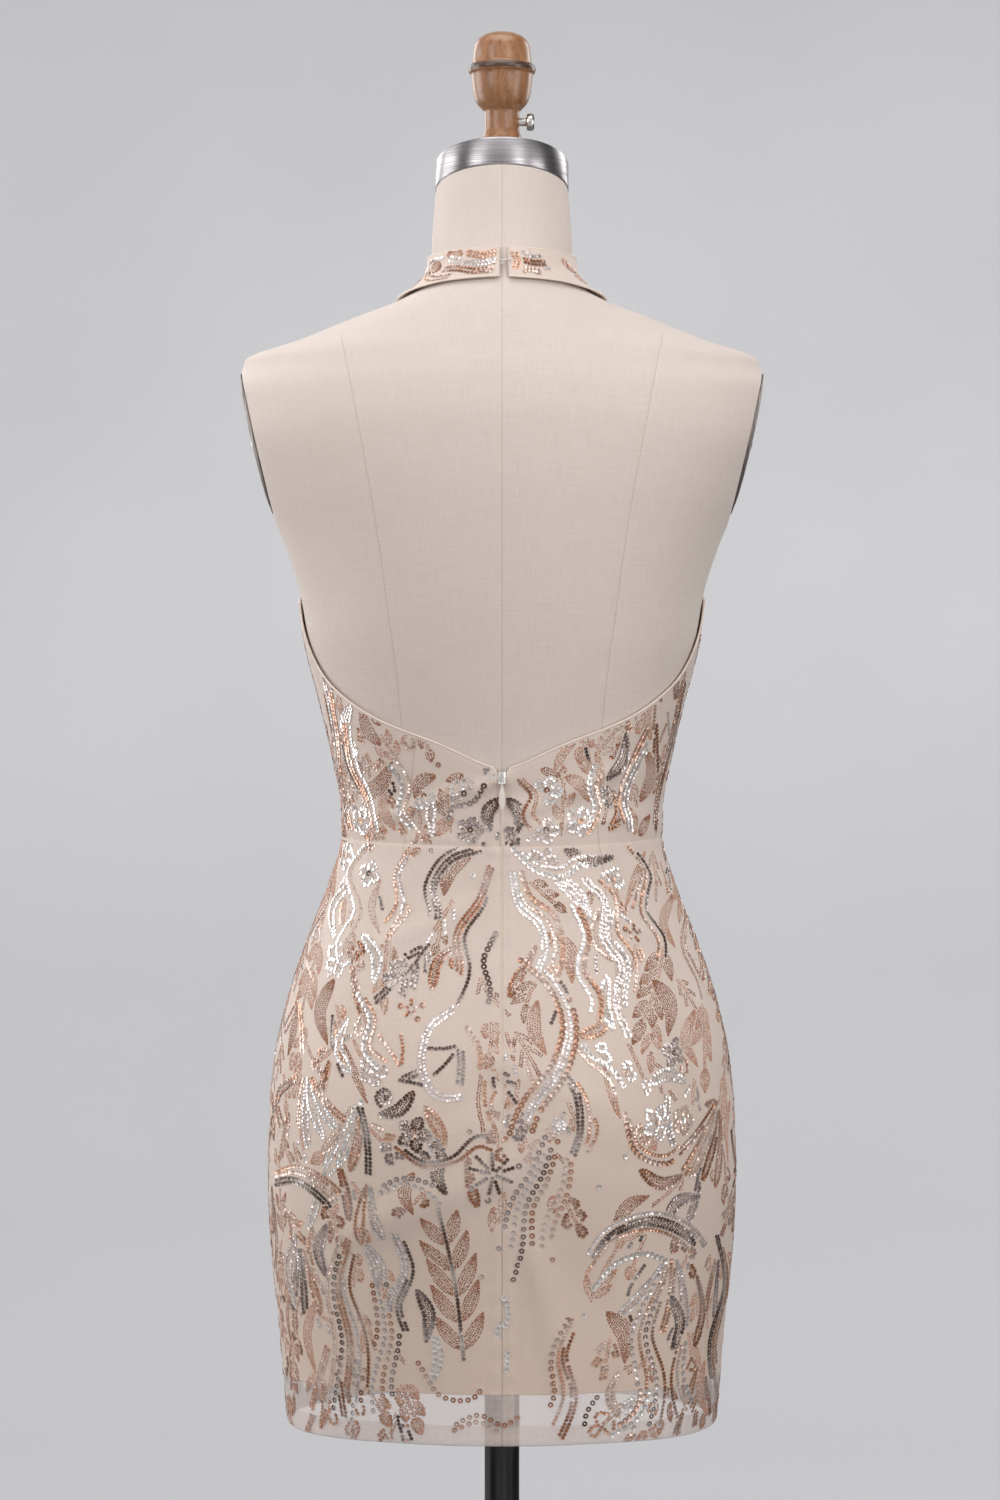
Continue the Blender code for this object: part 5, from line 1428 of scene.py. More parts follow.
# %% The skirt's design
# The points of each spine, how far apart its strands run, and the strands.
SPRAYS = [
    # tendrils that fall from the waist
    ((-12, 413, -38, 404, -50, 384, -46, 362, -58, 342), 7, "dark/1 gun/2"),
    ((-6, 398, -14, 372, -28, 350, -26, 326, -36, 304), 6.5, "copper/2 dark/1"),
    ((-4, 352, -12, 334, -8, 312, -14, 294), 6, "dark/o"),
    ((-62, 410, -72, 392, -70, 372, -80, 352), 6, "rose/1 silver/1"),
    ((8, 412, 24, 398, 40, 394, 54, 402, 70, 396), 6, "ice/o silver/1"),
    ((10, 396, 16, 374, 32, 360, 36, 340, 28, 318), 6.5, "ice/2 champagne/1 rose/o"),
    ((58, 392, 74, 374, 74, 350, 86, 330, 84, 304, 94, 282), 6.5, "silver/2 ice/o rose/1"),
    ((48, 372, 58, 350, 54, 326, 64, 306, 60, 284), 6, "ice/1 copper/o"),
    # the long tendril over the seat
    ((14, 336, 36, 316, 46, 288, 38, 258, 20, 234, 12, 208, 20, 184), 6.5, "copper/o silver/2 copper/o"),
    ((46, 290, 58, 268, 74, 256, 84, 238), 6, "champagne/1 ice/o"),
    ((40, 262, 54, 240, 56, 218, 50, 200), 6, "gun/2 rose/1"),
    ((-32, 300, -48, 286, -52, 264, -42, 246, -26, 246), 5.5, "silver/2 ice/o"),
    ((-24, 288, -14, 270, -18, 250), 6, "rose/o"),
    # down the hips
    ((88, 412, 100, 392, 98, 366, 110, 344, 108, 322), 6.5, "rose/1 gun/1"),
    ((122, 404, 130, 372, 126, 342, 138, 312, 142, 282), 6, "copper/s rose/1"),
    ((150, 350, 154, 312, 162, 276, 160, 240), 6, "gun/1 rose/1 steel/1"),
    ((-94, 412, -106, 392, -100, 366, -112, 340, -104, 316), 6.5, "ice/1 champagne/s"),
    ((-126, 404, -122, 372, -136, 344, -132, 312), 6, "rose/s copper/1"),
    ((-148, 372, -146, 334, -156, 300, -152, 262), 6, "rose/1 steel/1 rose/1"),
    ((-98, 310, -88, 292, -92, 272, -78, 258), 5.5, "ice/o rose/1"),
    ((-142, 250, -156, 232, -152, 206), 6, "rose/o copper/1"),
    # over the seat
    ((-72, 208, -52, 196, -32, 200, -16, 212, 2, 208), 5.5, "copper/1 dark/1"),
    ((34, 214, 26, 190, 14, 168, 10, 140, 2, 112), 6.5, "steel/d silver/d gun/d copper/d"),
    ((46, 200, 42, 176, 32, 152, 30, 128), 6.5, "champagne/d rose/d"),
    ((-84, 176, -68, 184, -50, 180, -36, 168), 6, "silver/d steel/d"),
    ((84, 230, 92, 206, 112, 196, 130, 206), 6, "copper/o rose/1"),
    # low down
    ((56, 122, 74, 146, 100, 154, 124, 144, 140, 122), 5.5, "rose/1 gun/3 silver/2"),
    ((62, 108, 78, 126, 98, 132, 116, 124), 5.5, "ice/o"),
    ((-158, 176, -138, 182, -116, 170, -104, 150), 6, "gun/2 champagne/2 rose/2"),
    ((-72, 148, -64, 122, -74, 96, -66, 72), 5.5, "silver/2 gun/2"),
    ((-104, 142, -112, 108, -104, 70, -110, 6), 7, "champagne/1 gun/d rose/2 silver/1 copper/1"),
    ((-84, 112, -78, 78, -86, 40, -82, 4), 7.5, "copper/d silver/d rose/d gun/d"),
    ((-58, 58, -40, 34, -20, 34, -8, 56), 6, "copper/d"),
    ((-34, 12, -16, 20, 2, 12, 16, 18), 6, "rose/d copper/d"),
    ((48, 88, 38, 64, 42, 34, 30, 3), 6.5, "copper/d rose/1 copper/2"),
    ((66, 34, 56, 18, 58, 3), 6, "dark/d"),
    ((74, 6, 92, 20, 100, 44), 6, "ice/d rose/o"),
    ((108, 108, 96, 74, 102, 40, 94, 4), 7, "silver/d rose/1 steel/d copper/1"),
    ((150, 140, 156, 100, 146, 60, 150, 12), 6.5, "gun/2 rose/2 copper/1"),
    ((124, 70, 120, 44, 128, 6), 7, "copper/1 champagne/1 silver/d"),
]
# The points of each spine, and how the leaf is filled.
LEAVES = [
    ((-20, 410, -36, 396, -40, 378), "copper/w"), ((-8, 386, -20, 366, -18, 348), "gun/4"),
    ((-30, 344, -44, 332, -48, 314), "copper/3"), ((12, 408, 24, 388, 22, 366), "silver/5"),
    ((42, 412, 58, 402, 76, 404), "gun/4"), ((36, 390, 50, 380, 60, 362), "silver/5"),
    ((30, 352, 46, 338, 48, 318), "rose/w"), ((66, 368, 66, 346, 76, 332), "champagne/4"),
    ((72, 322, 70, 302, 76, 286), "ice/4"), ((24, 306, 22, 286, 30, 270), "rose/m"),
    ((52, 282, 66, 286, 76, 300), "rose/4"), ((-84, 388, -90, 368, -84, 350), "champagne/n"),
    ((-106, 384, -118, 366, -116, 346), "ice/4"), ((-96, 350, -86, 334, -88, 316), "ice/4"),
    ((-116, 318, -126, 296, -120, 274), "copper/w"), ((-106, 292, -112, 272, -104, 256), "ice/l"),
    ((118, 376, 112, 356, 120, 340), "rose/m"), ((104, 318, 116, 300, 114, 280), "copper/w"),
    ((132, 296, 126, 276, 134, 258), "rose/m"), ((-60, 244, -70, 232, -84, 228), "dark/4"),
    ((-38, 202, -44, 190, -38, 176), "dark/4"), ((-60, 190, -66, 176, -60, 162), "copper/m"),
    ((94, 190, 108, 180, 124, 184), "copper/4"), ((100, 248, 112, 254, 126, 248), "ice/4"),
    ((76, 150, 86, 166, 100, 172), "copper/m"), ((110, 150, 120, 166, 136, 168), "steel/4"),
    ((-92, 138, -84, 120, -88, 100), "silver/5"), ((-120, 150, -126, 132, -120, 112), "steel/4"),
    ((-58, 108, -50, 92, -52, 72), "gun/4"), ((-46, 76, -44, 58, -50, 42), "ice/p"),
    ((-128, 96, -134, 70, -128, 44), "rose/m"), ((-142, 140, -148, 112, -142, 88), "silver/4"),
    ((-124, 40, -120, 22, -124, 6), "rose/4"), ((72, 92, 84, 76, 84, 56), "copper/w"),
    ((80, 50, 74, 34, 80, 18), "champagne/3"), ((116, 100, 122, 80, 116, 62), "gun/4"),
    ((134, 112, 138, 86, 132, 62), "copper/3"), ((140, 50, 136, 30, 142, 10), "rose/m"),
    ((0, 106, 2, 90, -4, 76), "ice/p"), ((4, 66, 3, 52), "ice/o"),
]
# x, v, heading, spread, length, bend, and the blades.
FANS = [
    (-134, 250, 172, 60, 46, -9, "rose/2 ice/3 ice/4 silver/3 champagne/2"),
    (-100, 234, 196, 74, 50, 10, "gun/2 rose/3 ice/3 ice/l champagne/3 rose/3 silver/2"),
    (-118, 202, 184, 60, 54, 8, "copper/3 rose/3 silver/3 ice/3 rose/3 gun/2"),
    (-92, 180, 200, 44, 40, -8, "silver/3 rose/l gun/2"),
    (112, 240, 196, 60, 40, -8, "copper/3 silver/2 rose/3 copper/2"),
    (146, 228, 204, 60, 58, 10, "rose/3 copper/3 champagne/3 rose/3 copper/2 steel/2"),
    (134, 196, 210, 50, 50, 10, "steel/3 rose/3 gun/2 copper/3 rose/l"),
    (-140, 130, 176, 46, 52, 4, "rose/3 gun/3 steel/3 rose/2"),
    (-100, 62, 184, 64, 54, 0, "rose/d copper/d silver/d gun/d champagne/d"),
    (116, 126, 188, 54, 56, 8, "silver/3 rose/2 champagne/2 silver/3"),
    (150, 120, 188, 40, 50, -4, "rose/3 steel/3 rose/2"),
    (98, 66, 196, 60, 56, -6, "silver/l rose/d champagne/3 ice/d copper/2"),
    (-30, 274, 214, 80, 26, 3, "gun/2 dark/1 gun/1"),
    (-70, 262, 330, 80, 26, -3, "champagne/n rose/1 copper/1"),
    (-142, 300, 186, 50, 38, 4, "rose/2 copper/m rose/l"),
    (150, 404, 196, 50, 44, -6, "copper/2 rose/m steel/1"),
    (-150, 404, 170, 50, 42, 6, "rose/m copper/2 rose/1"),
    (-116, 64, 178, 44, 54, 0, "rose/3 copper/2 silver/3 rose/2"),
    (136, 46, 182, 50, 44, 0, "copper/3 silver/2 rose/3"),
]
# x, v, heading, length, pairs of leaves, length of a leaf, bend, and the leaves.
SPRIGS = [
    (-26, 60, 356, 108, 5, 30, -10, "copper/m", "dark/1"), (-8, 150, 34, 26, 2, 16, 3, "rose/n"),
    (-50, 344, 214, 40, 3, 17, 6, "gun/2", "gun/1"), (-78, 346, 190, 36, 3, 16, -4, "rose/n"),
    (112, 340, 196, 52, 5, 21, 6, "copper/m"), (138, 300, 190, 44, 4, 18, -5, "rose/m"),
    (-126, 344, 204, 52, 5, 20, -6, "rose/m"), (-96, 300, 160, 34, 3, 17, 5, "champagne/3"),
    (100, 304, 172, 34, 3, 16, 3, "rose/n"), (-70, 252, 96, 30, 2, 15, 4, "gun/2", "gun/1"),
    (60, 100, 20, 40, 4, 17, 5, "rose/n"), (-152, 140, 350, 30, 2, 14, 0, "copper/n"),
    (154, 250, 186, 34, 3, 14, 0, "rose/n"), (126, 402, 190, 34, 3, 15, 3, "rose/n"),
    (-138, 402, 174, 34, 3, 15, -3, "rose/n"), (-144, 64, 184, 40, 3, 14, 0, "copper/n"),
    (20, 150, 200, 18, 1, 9, 0, "champagne/1"), (86, 276, 150, 26, 2, 13, 2, "silver/2"),
]
# x, v, radius, petals, and the tones of the petals and of the middle.
BLOSSOMS = [
    (28, 402, 8, 5, "silver", "gun"), (46, 388, 9, 5, "ice", "copper"), (76, 388, 6, 4, "ice", "rose"),
    (4, 418, 5, 4, "gun", "dark"), (-108, 404, 8, 5, "ice", "rose"), (-92, 392, 6, 4, "ice", "gun"),
    (-114, 332, 9, 5, "ice", "champagne"), (-88, 258, 8, 5, "silver", "ice"),
    (-60, 216, 9, 5, "dark", "copper"),
    (-48, 204, 7, 5, "gun", "silver"), (-74, 204, 6, 4, "steel", "gun"), (10, 222, 7, 5, "steel", "silver"),
    (106, 222, 9, 5, "ice", "copper"), (92, 212, 7, 5, "rose", "ice"), (124, 222, 7, 5, "champagne", "ice"),
    (118, 268, 8, 4, "steel", "gun"), (66, 268, 6, 4, "ice", "rose"), (88, 24, 4, 4, "ice", "ice"),
    (84, 256, 5, 4, "ice", "copper"), (-28, 330, 5, 4, "copper", "dark"),
]
WHORLS = [(-80, 240, 6.5, "gun"), (-90, 334, 5, "copper"), (38, 222, 5.5, "silver"), (98, 288, 5, "dark")]
STARS = [(-6, 190, 15, 9, "dark"), (-62, 300, 6, 5, "copper"), (90, 350, 6, 5, "copper")]


def on_cloth(x, v, front=False):
    """A place seen square on, as millimetres round the body and millimetres up."""
    z = HEM_Z + v * MM
    angle = math.copysign(angle_across(x * MM, min(z, SHOULDER_Z), front), x)
    return np.array([float(length_to(180 - angle if front else angle, z)), v])


def spine(numbers, front, flip=1):
    """A row of numbers from a table as places on the cloth; flip -1 mirrors it."""
    return [on_cloth(flip * x, v, front) for x, v in np.reshape(numbers, (-1, 2))]


def sew(tables, front, flip=1, swap=None):
    """Sews a set of tables; headings turn round where the place is looked at from the front."""
    def word(text):
        for old, new in (swap or {}).items():
            text = text.replace(old, new)
        return text

    turn = (-1 if front else 1) * flip
    sprays, leaves, fans, sprigs, blossoms, whorls, stars = tables
    for numbers, apart, words in sprays:
        spray(spine(numbers, front, flip), apart, word(words))
    for numbers, words in leaves:
        strand(through(spine(numbers, front, flip), 40), word(words))
    for x, v, radius, petals, tone, middle in blossoms:
        blossom(on_cloth(flip * x, v, front), radius, petals, word(tone), middle)
    for x, v, heading, spread, length, bend, words in fans:
        fan(on_cloth(flip * x, v, front), turn * heading, turn * spread, length, turn * bend, word(words))
    for x, v, heading, length, pairs, leaf, bend, *words in sprigs:
        words = [word(text) for text in words]
        sprig(on_cloth(flip * x, v, front), turn * heading, length, pairs, leaf, turn * bend, *words)
    for x, v, radius, tone in whorls:
        whorl(on_cloth(flip * x, v, front), radius, word(tone))
    for x, v, radius, arms, tone in stars:
        starburst(on_cloth(flip * x, v, front), radius, arms, word(tone))


SKIRT = (SPRAYS, LEAVES, FANS, SPRIGS, BLOSSOMS, WHORLS, STARS)
sew(SKIRT, front=False)
sew(SKIRT, front=True, flip=-1, swap={"gun": "steel", "dark": "rose"})
FILL = "rose/n copper/n rose/l copper/s rose/2 rose/m silver/1 copper/3 rose/4 gun/1".split()


def fill_in(spots):
    """Sews small sprigs and tendrils at places that are still bare."""
    for k, (x, v, front) in enumerate(spots):
        start, word = on_cloth(x, v, front), FILL[chance.integers(len(FILL))]
        if k % 3:
            sprig(start, 180 + chance.uniform(-50, 50), chance.uniform(14, 26), 2, chance.uniform(9, 15),
                  chance.uniform(-6, 6), word, "rose/s")
        else:
            drop, swing = chance.uniform(-14, 14, 2)
            spray([start, start + [drop, -20], start + [drop + swing, -42]], 5.5, word + " rose/1")


def bare_spots(count):
    """Places out on the hips and down the sides, where the tables leave the cloth bare."""
    for k in range(count):
        x = chance.choice((-1, 1)) * (168 - 100 * chance.random() ** 1.6)
        v, front = chance.uniform(12, 412), bool(k % 2)
        low_back = 20 < x < 80 and not front and 90 < v < 240
        if abs(x) > 98 - 36 * (v < 130) and not low_back:
            yield x, v, front


fill_in(bare_spots(700))
fill_in([(chance.uniform(-98, 98), chance.uniform(170, 408), k % 2) for k in range(110)])
print("on the skirt:", {shape: sum(map(len, rows)) for shape, rows in laid.items()})

# %% [markdown]
# ## The bodice's and the band's design
# The backs have only a low wedge of cloth, so their motifs are close and small and run up into the
# side seams. The halter front has the same feathers and sprigs, rising from the waist to the neck.

# %% The bodice's design
BACKS = ([
    ((-106, 422, -113, 456, -117, 492, -130, 556), 6, "rose/2 silver/2 copper/1"),
    ((-88, 422, -94, 446, -106, 474, -110, 510), 6, "ice/1 rose/2 gun/1"),
    ((-58, 422, -68, 438, -66, 456, -80, 476), 6, "champagne/1 ice/o"),
    ((106, 422, 110, 456, 119, 492, 131, 556), 6, "copper/2 rose/2 gun/1"),
    ((88, 422, 84, 446, 92, 470, 107, 500), 6, "silver/2 rose/2"),
    ((58, 422, 66, 440, 62, 456, 74, 478), 6, "rose/1 ice/o"),
    ((12, 460, 22, 448, 18, 434, 28, 422), 5.5, "copper/1 rose/s"),
    ((-12, 456, -20, 444, -34, 440, -38, 424), 5.5, "dark/o"),
    ((124, 470, 132, 520, 142, 580), 6, "rose/2 copper/1"),
    ((-124, 466, -133, 520, -143, 580), 6, "copper/1 rose/2"),
], [
    ((-98, 448, -84, 456, -76, 472), "copper/w"), ((-84, 484, -94, 496, -98, 514), "copper/m"),
    ((-100, 476, -108, 496, -104, 520), "silver/5"), ((-74, 424, -82, 440, -80, 456), "rose/m"),
    ((74, 424, 82, 436, 76, 452), "copper/4"), ((96, 444, 104, 462, 100, 482), "copper/w"),
    ((72, 460, 84, 474, 86, 492), "gun/4"), ((104, 488, 100, 506, 108, 524), "rose/m"),
    ((-2, 446, -10, 436, -8, 424), "dark/4"), ((4, 446, 12, 436, 10, 422), "gun/4"),
    ((44, 462, 54, 456, 60, 444), "rose/m"), ((-46, 462, -56, 458, -60, 446), "copper/m"),
    ((116, 440, 120, 470, 122, 500), "champagne/3"), ((-116, 436, -122, 470, -124, 500), "rose/3"),
    ((110, 520, 118, 540, 122, 562), "rose/m"), ((-110, 520, -118, 540, -122, 562), "copper/m"),
], [
    (-10, 420, 322, 90, 24, 2, "gun/3 dark/3 copper/n"), (16, 419, 50, 90, 24, 2, "silver/3 ice/3 gun/2"),
    (-48, 420, 350, 90, 24, 3, "ice/3 silver/3 rose/m"), (94, 420, 10, 60, 24, 0, "rose/m copper/m"),
    (-26, 462, 220, 60, 16, 0, "rose/n copper/n"), (26, 466, 140, 60, 16, 0, "copper/n rose/n"),
], [
    (-36, 422, 352, 32, 3, 12, 3, "copper/n"), (40, 420, 8, 38, 4, 13, -3, "rose/n"),
    (-72, 474, 320, 22, 2, 12, 0, "rose/n"), (66, 478, 40, 22, 2, 12, 0, "champagne/n"),
    (-92, 506, 330, 26, 2, 12, 0, "rose/n"), (92, 502, 30, 26, 2, 12, 0, "copper/n"),
], [
    (-26, 450, 8, 5, "silver", "gun"), (31, 452, 7, 5, "ice", "copper"), (54, 430, 8, 5, "ice", "rose"),
    (-54, 448, 6, 4, "ice", "copper"), (-70, 462, 6, 5, "gun", "ice"), (70, 446, 6, 4, "steel", "ice"),
    (-22, 424, 6, 5, "steel", "dark"), (30, 424, 6, 5, "silver", "gun"), (-98, 430, 7, 5, "ice", "rose"),
], [(-12, 466, 3, "gun"), (98, 432, 4, "copper")], [])
HALTER = ([
    ((0, 424, 6, 462, 2, 500, 10, 540), 7, "rose/2 silver/3 ice/1 copper/o"),
    ((-12, 424, -34, 452, -46, 486, -44, 520), 6.5, "copper/o rose/2 silver/2"),
    ((16, 424, 38, 450, 54, 482, 56, 516), 6.5, "gun/2 rose/2 ice/1"),
    ((44, 422, 72, 444, 93, 480, 104, 522), 6.5, "copper/o rose/2 champagne/1"),
    ((-44, 422, -74, 448, -97, 490, -107, 534), 6.5, "silver/2 rose/2 copper/1"),
    ((112, 430, 117, 470, 113, 512, 122, 556), 6, "champagne/2 rose/2"),
    ((-113, 430, -119, 474, -115, 516, -124, 560), 6, "rose/2 gun/2"),
    ((8, 544, 2, 582, 14, 618, 6, 658, 14, 704, 5, 752), 6, "silver/2 copper/o rose/1"),
    ((-22, 540, -12, 576, -24, 614, -14, 662, -20, 708, -9, 754), 6, "copper/1 ice/2"),
    ((56, 560, 82, 588, 96, 626), 6, "ice/o rose/2"),
    ((-58, 556, -88, 586, -100, 626), 6, "copper/o silver/2"),
    ((60, 630, 74, 662, 76, 704), 6, "gun/1 rose/2"), ((-66, 632, -78, 664, -78, 702), 6, "rose/2 copper/1"),
], [
    ((20, 560, 44, 586, 52, 620), "gun/5"), ((-30, 560, -52, 590, -58, 624), "silver/5"),
    ((46, 500, 66, 530, 74, 566), "copper/w"), ((-48, 506, -70, 538, -80, 574), "copper/w"),
    ((22, 640, 42, 668, 50, 704), "rose/3"), ((-26, 640, -46, 670, -54, 708), "champagne/3"),
    ((28, 430, 40, 444, 60, 452), "rose/w"), ((-26, 430, -42, 440, -62, 446), "rose/w"),
], [
    (40, 520, 30, 56, 46, -6, "silver/3 rose/m gun/2 ice/3 rose/3"),
    (-42, 524, 330, 56, 46, 6, "copper/m silver/3 rose/2 ice/3 gun/2"),
    (2, 630, 0, 90, 42, 2, "silver/3 champagne/2 ice/3 champagne/2 silver/3"),
    (58, 664, 14, 46, 34, -3, "rose/3 silver/2 copper/m"),
    (-60, 668, 346, 46, 34, 3, "copper/m gun/2 rose/3"),
    (84, 440, 20, 60, 36, 4, "copper/m rose/2 rose/m"),
    (-86, 440, 340, 60, 36, -4, "rose/m copper/2 copper/m"),
], [
    (0, 600, 4, 40, 4, 18, 4, "rose/n"), (64, 596, 18, 30, 3, 16, 2, "rose/n"),
    (-62, 600, 342, 32, 3, 16, -2, "champagne/2"),
    (90, 500, 8, 34, 3, 17, 3, "copper/n"), (-92, 500, 352, 34, 3, 17, -3, "copper/n"),
    (30, 706, 20, 24, 3, 12, 4, "rose/n"),
    (-32, 706, 340, 24, 3, 12, 0, "rose/n"), (2, 694, 0, 34, 4, 14, 2, "copper/n"),
    (106, 564, 4, 26, 2, 12, 0, "rose/n"),
    (-109, 568, 356, 24, 2, 12, 0, "rose/n"),
], [
    (0, 556, 10, 5, "ice", "copper"), (52, 542, 8, 5, "silver", "gun"), (-54, 546, 8, 5, "ice", "rose"),
    (26, 614, 7, 5, "silver", "gun"), (-30, 618, 7, 5, "ice", "copper"), (1, 670, 7, 5, "ice", "rose"),
    (40, 718, 6, 4, "silver", "gun"), (-42, 718, 6, 4, "rose", "ice"), (82, 456, 7, 5, "ice", "rose"),
    (-86, 458, 7, 5, "silver", "gun"), (12, 736, 5, 4, "ice", "rose"), (0, 448, 8, 5, "silver", "gun"),
], [], [(30, 470, 9, 6, "gun"), (-24, 476, 9, 6, "copper")])
sew(BACKS, front=False)
sew(HALTER, front=True)
for across, upward, on_front in (((50, 122), (432, 560), lambda k: k % 3 == 0),
                                 ((20, 150), (440, 740), lambda k: True)):
    fill_in([(side * chance.uniform(*across), chance.uniform(*upward), on_front(k))
             for k in range(90) for side in (-1, 1)])
SINGLES = [
    (-44, 470), (-6, 462), (20, 474), (40, 480), (18, 418), (-20, 392), (62, 358), (94, 262), (-70, 326),
    (60, 300), (-96, 236), (84, 200), (-22, 218), (66, 180), (-64, 6), (34, 130), (90, 10), (56, 90),
    (-14, 118),
]
for k, (x, v) in enumerate(SINGLES):
    spot = on_cloth(x, v)
    sew_rows([("single", np.array([spot, spot + [0.1, 0.1]]))], "ice" if k % 3 else "copper")

# %% The band's design
# Where the band's design starts and how tall it is, in millimetres, and the band's radius.
BAND_FOOT, BAND_TALL, BAND_RADIUS = (1.434 - HEM_Z) * 1000, 19, 0.0545
BAND = [
    ((-4, 0.92, -14, 0.8, -26, 0.95), "rose/2"), ((-4, 0.55, -16, 0.45, -30, 0.6, -42, 0.8), "silver/2"),
    ((-5, 0.15, -18, 0.12, -32, 0.3, -46, 0.4), "copper/2"), ((-30, 0.9, -36, 1.0, -44, 0.98), "rose/m"),
    ((-36, 0.02, -50, 0.08, -62, 0.3, -70, 0.6), "rose/2"), ((-48, 0.9, -58, 0.95, -70, 0.9), "silver/1"),
    ((-50, 0.45, -56, 0.6, -64, 0.7), "copper/m"), ((-52, 0.2, -58, 0.3), "ice/1"),
    ((-12, 0.3, -22, 0.3), "gun/1"),
    ((8, 0.92, 11, 0.55, 9, 0.1), "rose/2"), ((15, 0.95, 20, 0.8, 28, 0.82), "silver/1"),
    ((14, 0.6, 22, 0.5, 33, 0.55), "copper/2"), ((14, 0.15, 20, 0.2, 27, 0.1), "rose/2"),
    ((31, 0.3, 36, 0.32), "ice/1"),
    ((50, 0.9, 58, 0.6, 66, 0.5), "rose/2"), ((60, 0.25, 66, 0.3, 76, 0.2), "champagne/m"),
]
for x in range(-150, -76, 22):
    BAND += [((x, 0.2, x + 10, 0.8), "rose/2"), ((x - 2, 0.35, x - 11, 0.75), "silver/1"),
             ((x + 4, 0.2, x + 16, 0.3), "copper/1")]
for x in range(92, 158, 20):
    BAND += [((x, 0.75, x + 10, 0.2), "rose/2"), ((x + 2, 0.35, x - 8, 0.3), "champagne/1"),
             ((x + 6, 0.7, x + 14, 0.8), "silver/1")]
band_start = {shape: sum(map(len, rows)) for shape, rows in laid.items()}
for numbers, word in BAND:
    places = np.reshape(numbers, (-1, 2))
    strand(through(np.c_[places[:, 0], BAND_FOOT + BAND_TALL * places[:, 1]], 30), word)

# %% [markdown]
# ## Sewing on
# Each sequin is placed on the outside of the cloth it belongs to, tilted a little by chance and a
# little along its row, as overlapping sequins are. Any that would hang off an edge or lie on a seam
# are left out, as a maker unpicks them there.

# %% Sequin finishes
def sequin_finish(name, roughness, film_colour, film_size, **fixed):
    """A finish that takes each sequin's tone, painted light and shade included, and gloss, with a thin film
    mottled over it.
    """
    material, t, s = finish(name, roughness, **fixed)
    film = t.noise(t.add("TexCoord", out=3), film_size, 1.0)
    tone = t.add("Attribute", attribute_name="tone")
    link(t, t.mix(t.between(film, 0.42, 0.7, 0.0, 0.22), tone, film_colour), s["Base Color"])
    link(t, t.add("Attribute", out=2, attribute_name="gloss"), s["Roughness"])
    return material


glossy = sequin_finish("sequin film", 0.2, rgb(186, 148, 126), 640.0, Metallic=0.5)
matt = sequin_finish("matt seeds", 0.5, rgb(194, 140, 108), 900.0, Metallic=0.3)


# %% The shapes of a ring, a cup and a seed
# A flat ring, with painted shade darkening it towards its hole.
def ring_shape(sides, hole):
    turn = 2 * math.pi * (np.arange(sides) + 0.5) / sides
    circle = np.stack((np.cos(turn), np.sin(turn), 0 * turn), -1)
    k = np.arange(sides)
    ahead = (k + 1) % sides
    faces = np.stack((k, ahead, ahead + sides, k + sides), -1)
    return np.concatenate((circle, circle * hole - [0, 0, 0.10])), faces, np.repeat([1.0, 0.55], sides)


def cup_shape(sides, deep, rim, shadow, middle):
    """A shallow cone with painted shade: its rim darkens towards the edge that the next sequin covers."""
    turn = 2 * math.pi * (np.arange(sides) + 0.5) / sides
    circle = np.stack((np.cos(turn), np.sin(turn), 0 * turn + deep), -1)
    k = np.arange(sides)
    faces = np.stack((k, (k + 1) % sides, np.full(sides, sides)), -1)
    shades = np.r_[rim - shadow * (1 - np.cos(turn)) / 2, middle]
    return np.concatenate((circle, [[0, 0, -deep]])), faces, shades


# Painted light on the shapes: a cup's dark middle paints its hole in shade, and a seed's bright middle is a
# painted highlight with painted shade at its rim.
SHAPES = {"ring": ring_shape(8, 0.36), "cup": cup_shape(8, 0.07, 1.1, 0.4, 0.22),
          "seed": cup_shape(6, -0.35, 0.42, 0.0, 1.15)}
# How much each tilts by chance and leans along its row, in degrees, and how high it sits.
SEATS = {"ring": (3, 3, 0.42), "cup": (5, 6, 0.30), "seed": (9, 0, 0.15)}
EDGE_ANGLES, EDGE_HEIGHTS = armhole(np.linspace(0, 1, 60))


def panel_of(angle, z, up):
    """Which cut piece each place is on; empty where it is off the cloth or on a seam."""
    turned_angle = np.mod(angle, 360)
    side = np.where(turned_angle < 90, "back_right", np.where(turned_angle < 270, "front", "back_left"))
    from_waist = up - (WAIST_Z - HEM_Z - waist_dip(angle)) * 1000
    a_degree = degree_long(angle, z) * 1000
    from_centre = np.abs((turned_angle + 180) % 360 - 180) * a_degree
    from_side = np.minimum(np.abs(turned_angle - 90), np.abs(turned_angle - 270)) * a_degree
    clear = (np.abs(from_waist) > 1.6) & (from_side > 0.6) & (up > 1.5)
    clear &= from_centre > np.where(up > 215, 2.0, 0.8)
    below_neckline = z < back_edge(angle) - 2.2 * MM
    folded = np.minimum(turned_angle, 360 - turned_angle)
    in_halter = (folded - np.interp(z, EDGE_HEIGHTS, EDGE_ANGLES)) * a_degree > 4.0
    in_halter &= z < edge_height(BAND_LOW, angle) - 4 * MM
    inside = np.where(side == "front", (z < UNDERARM_Z) | in_halter, below_neckline)
    part = np.where(from_waist < 0, "skirt_", "bodice_")
    return np.where(clear & inside, np.char.add(part, side), "")


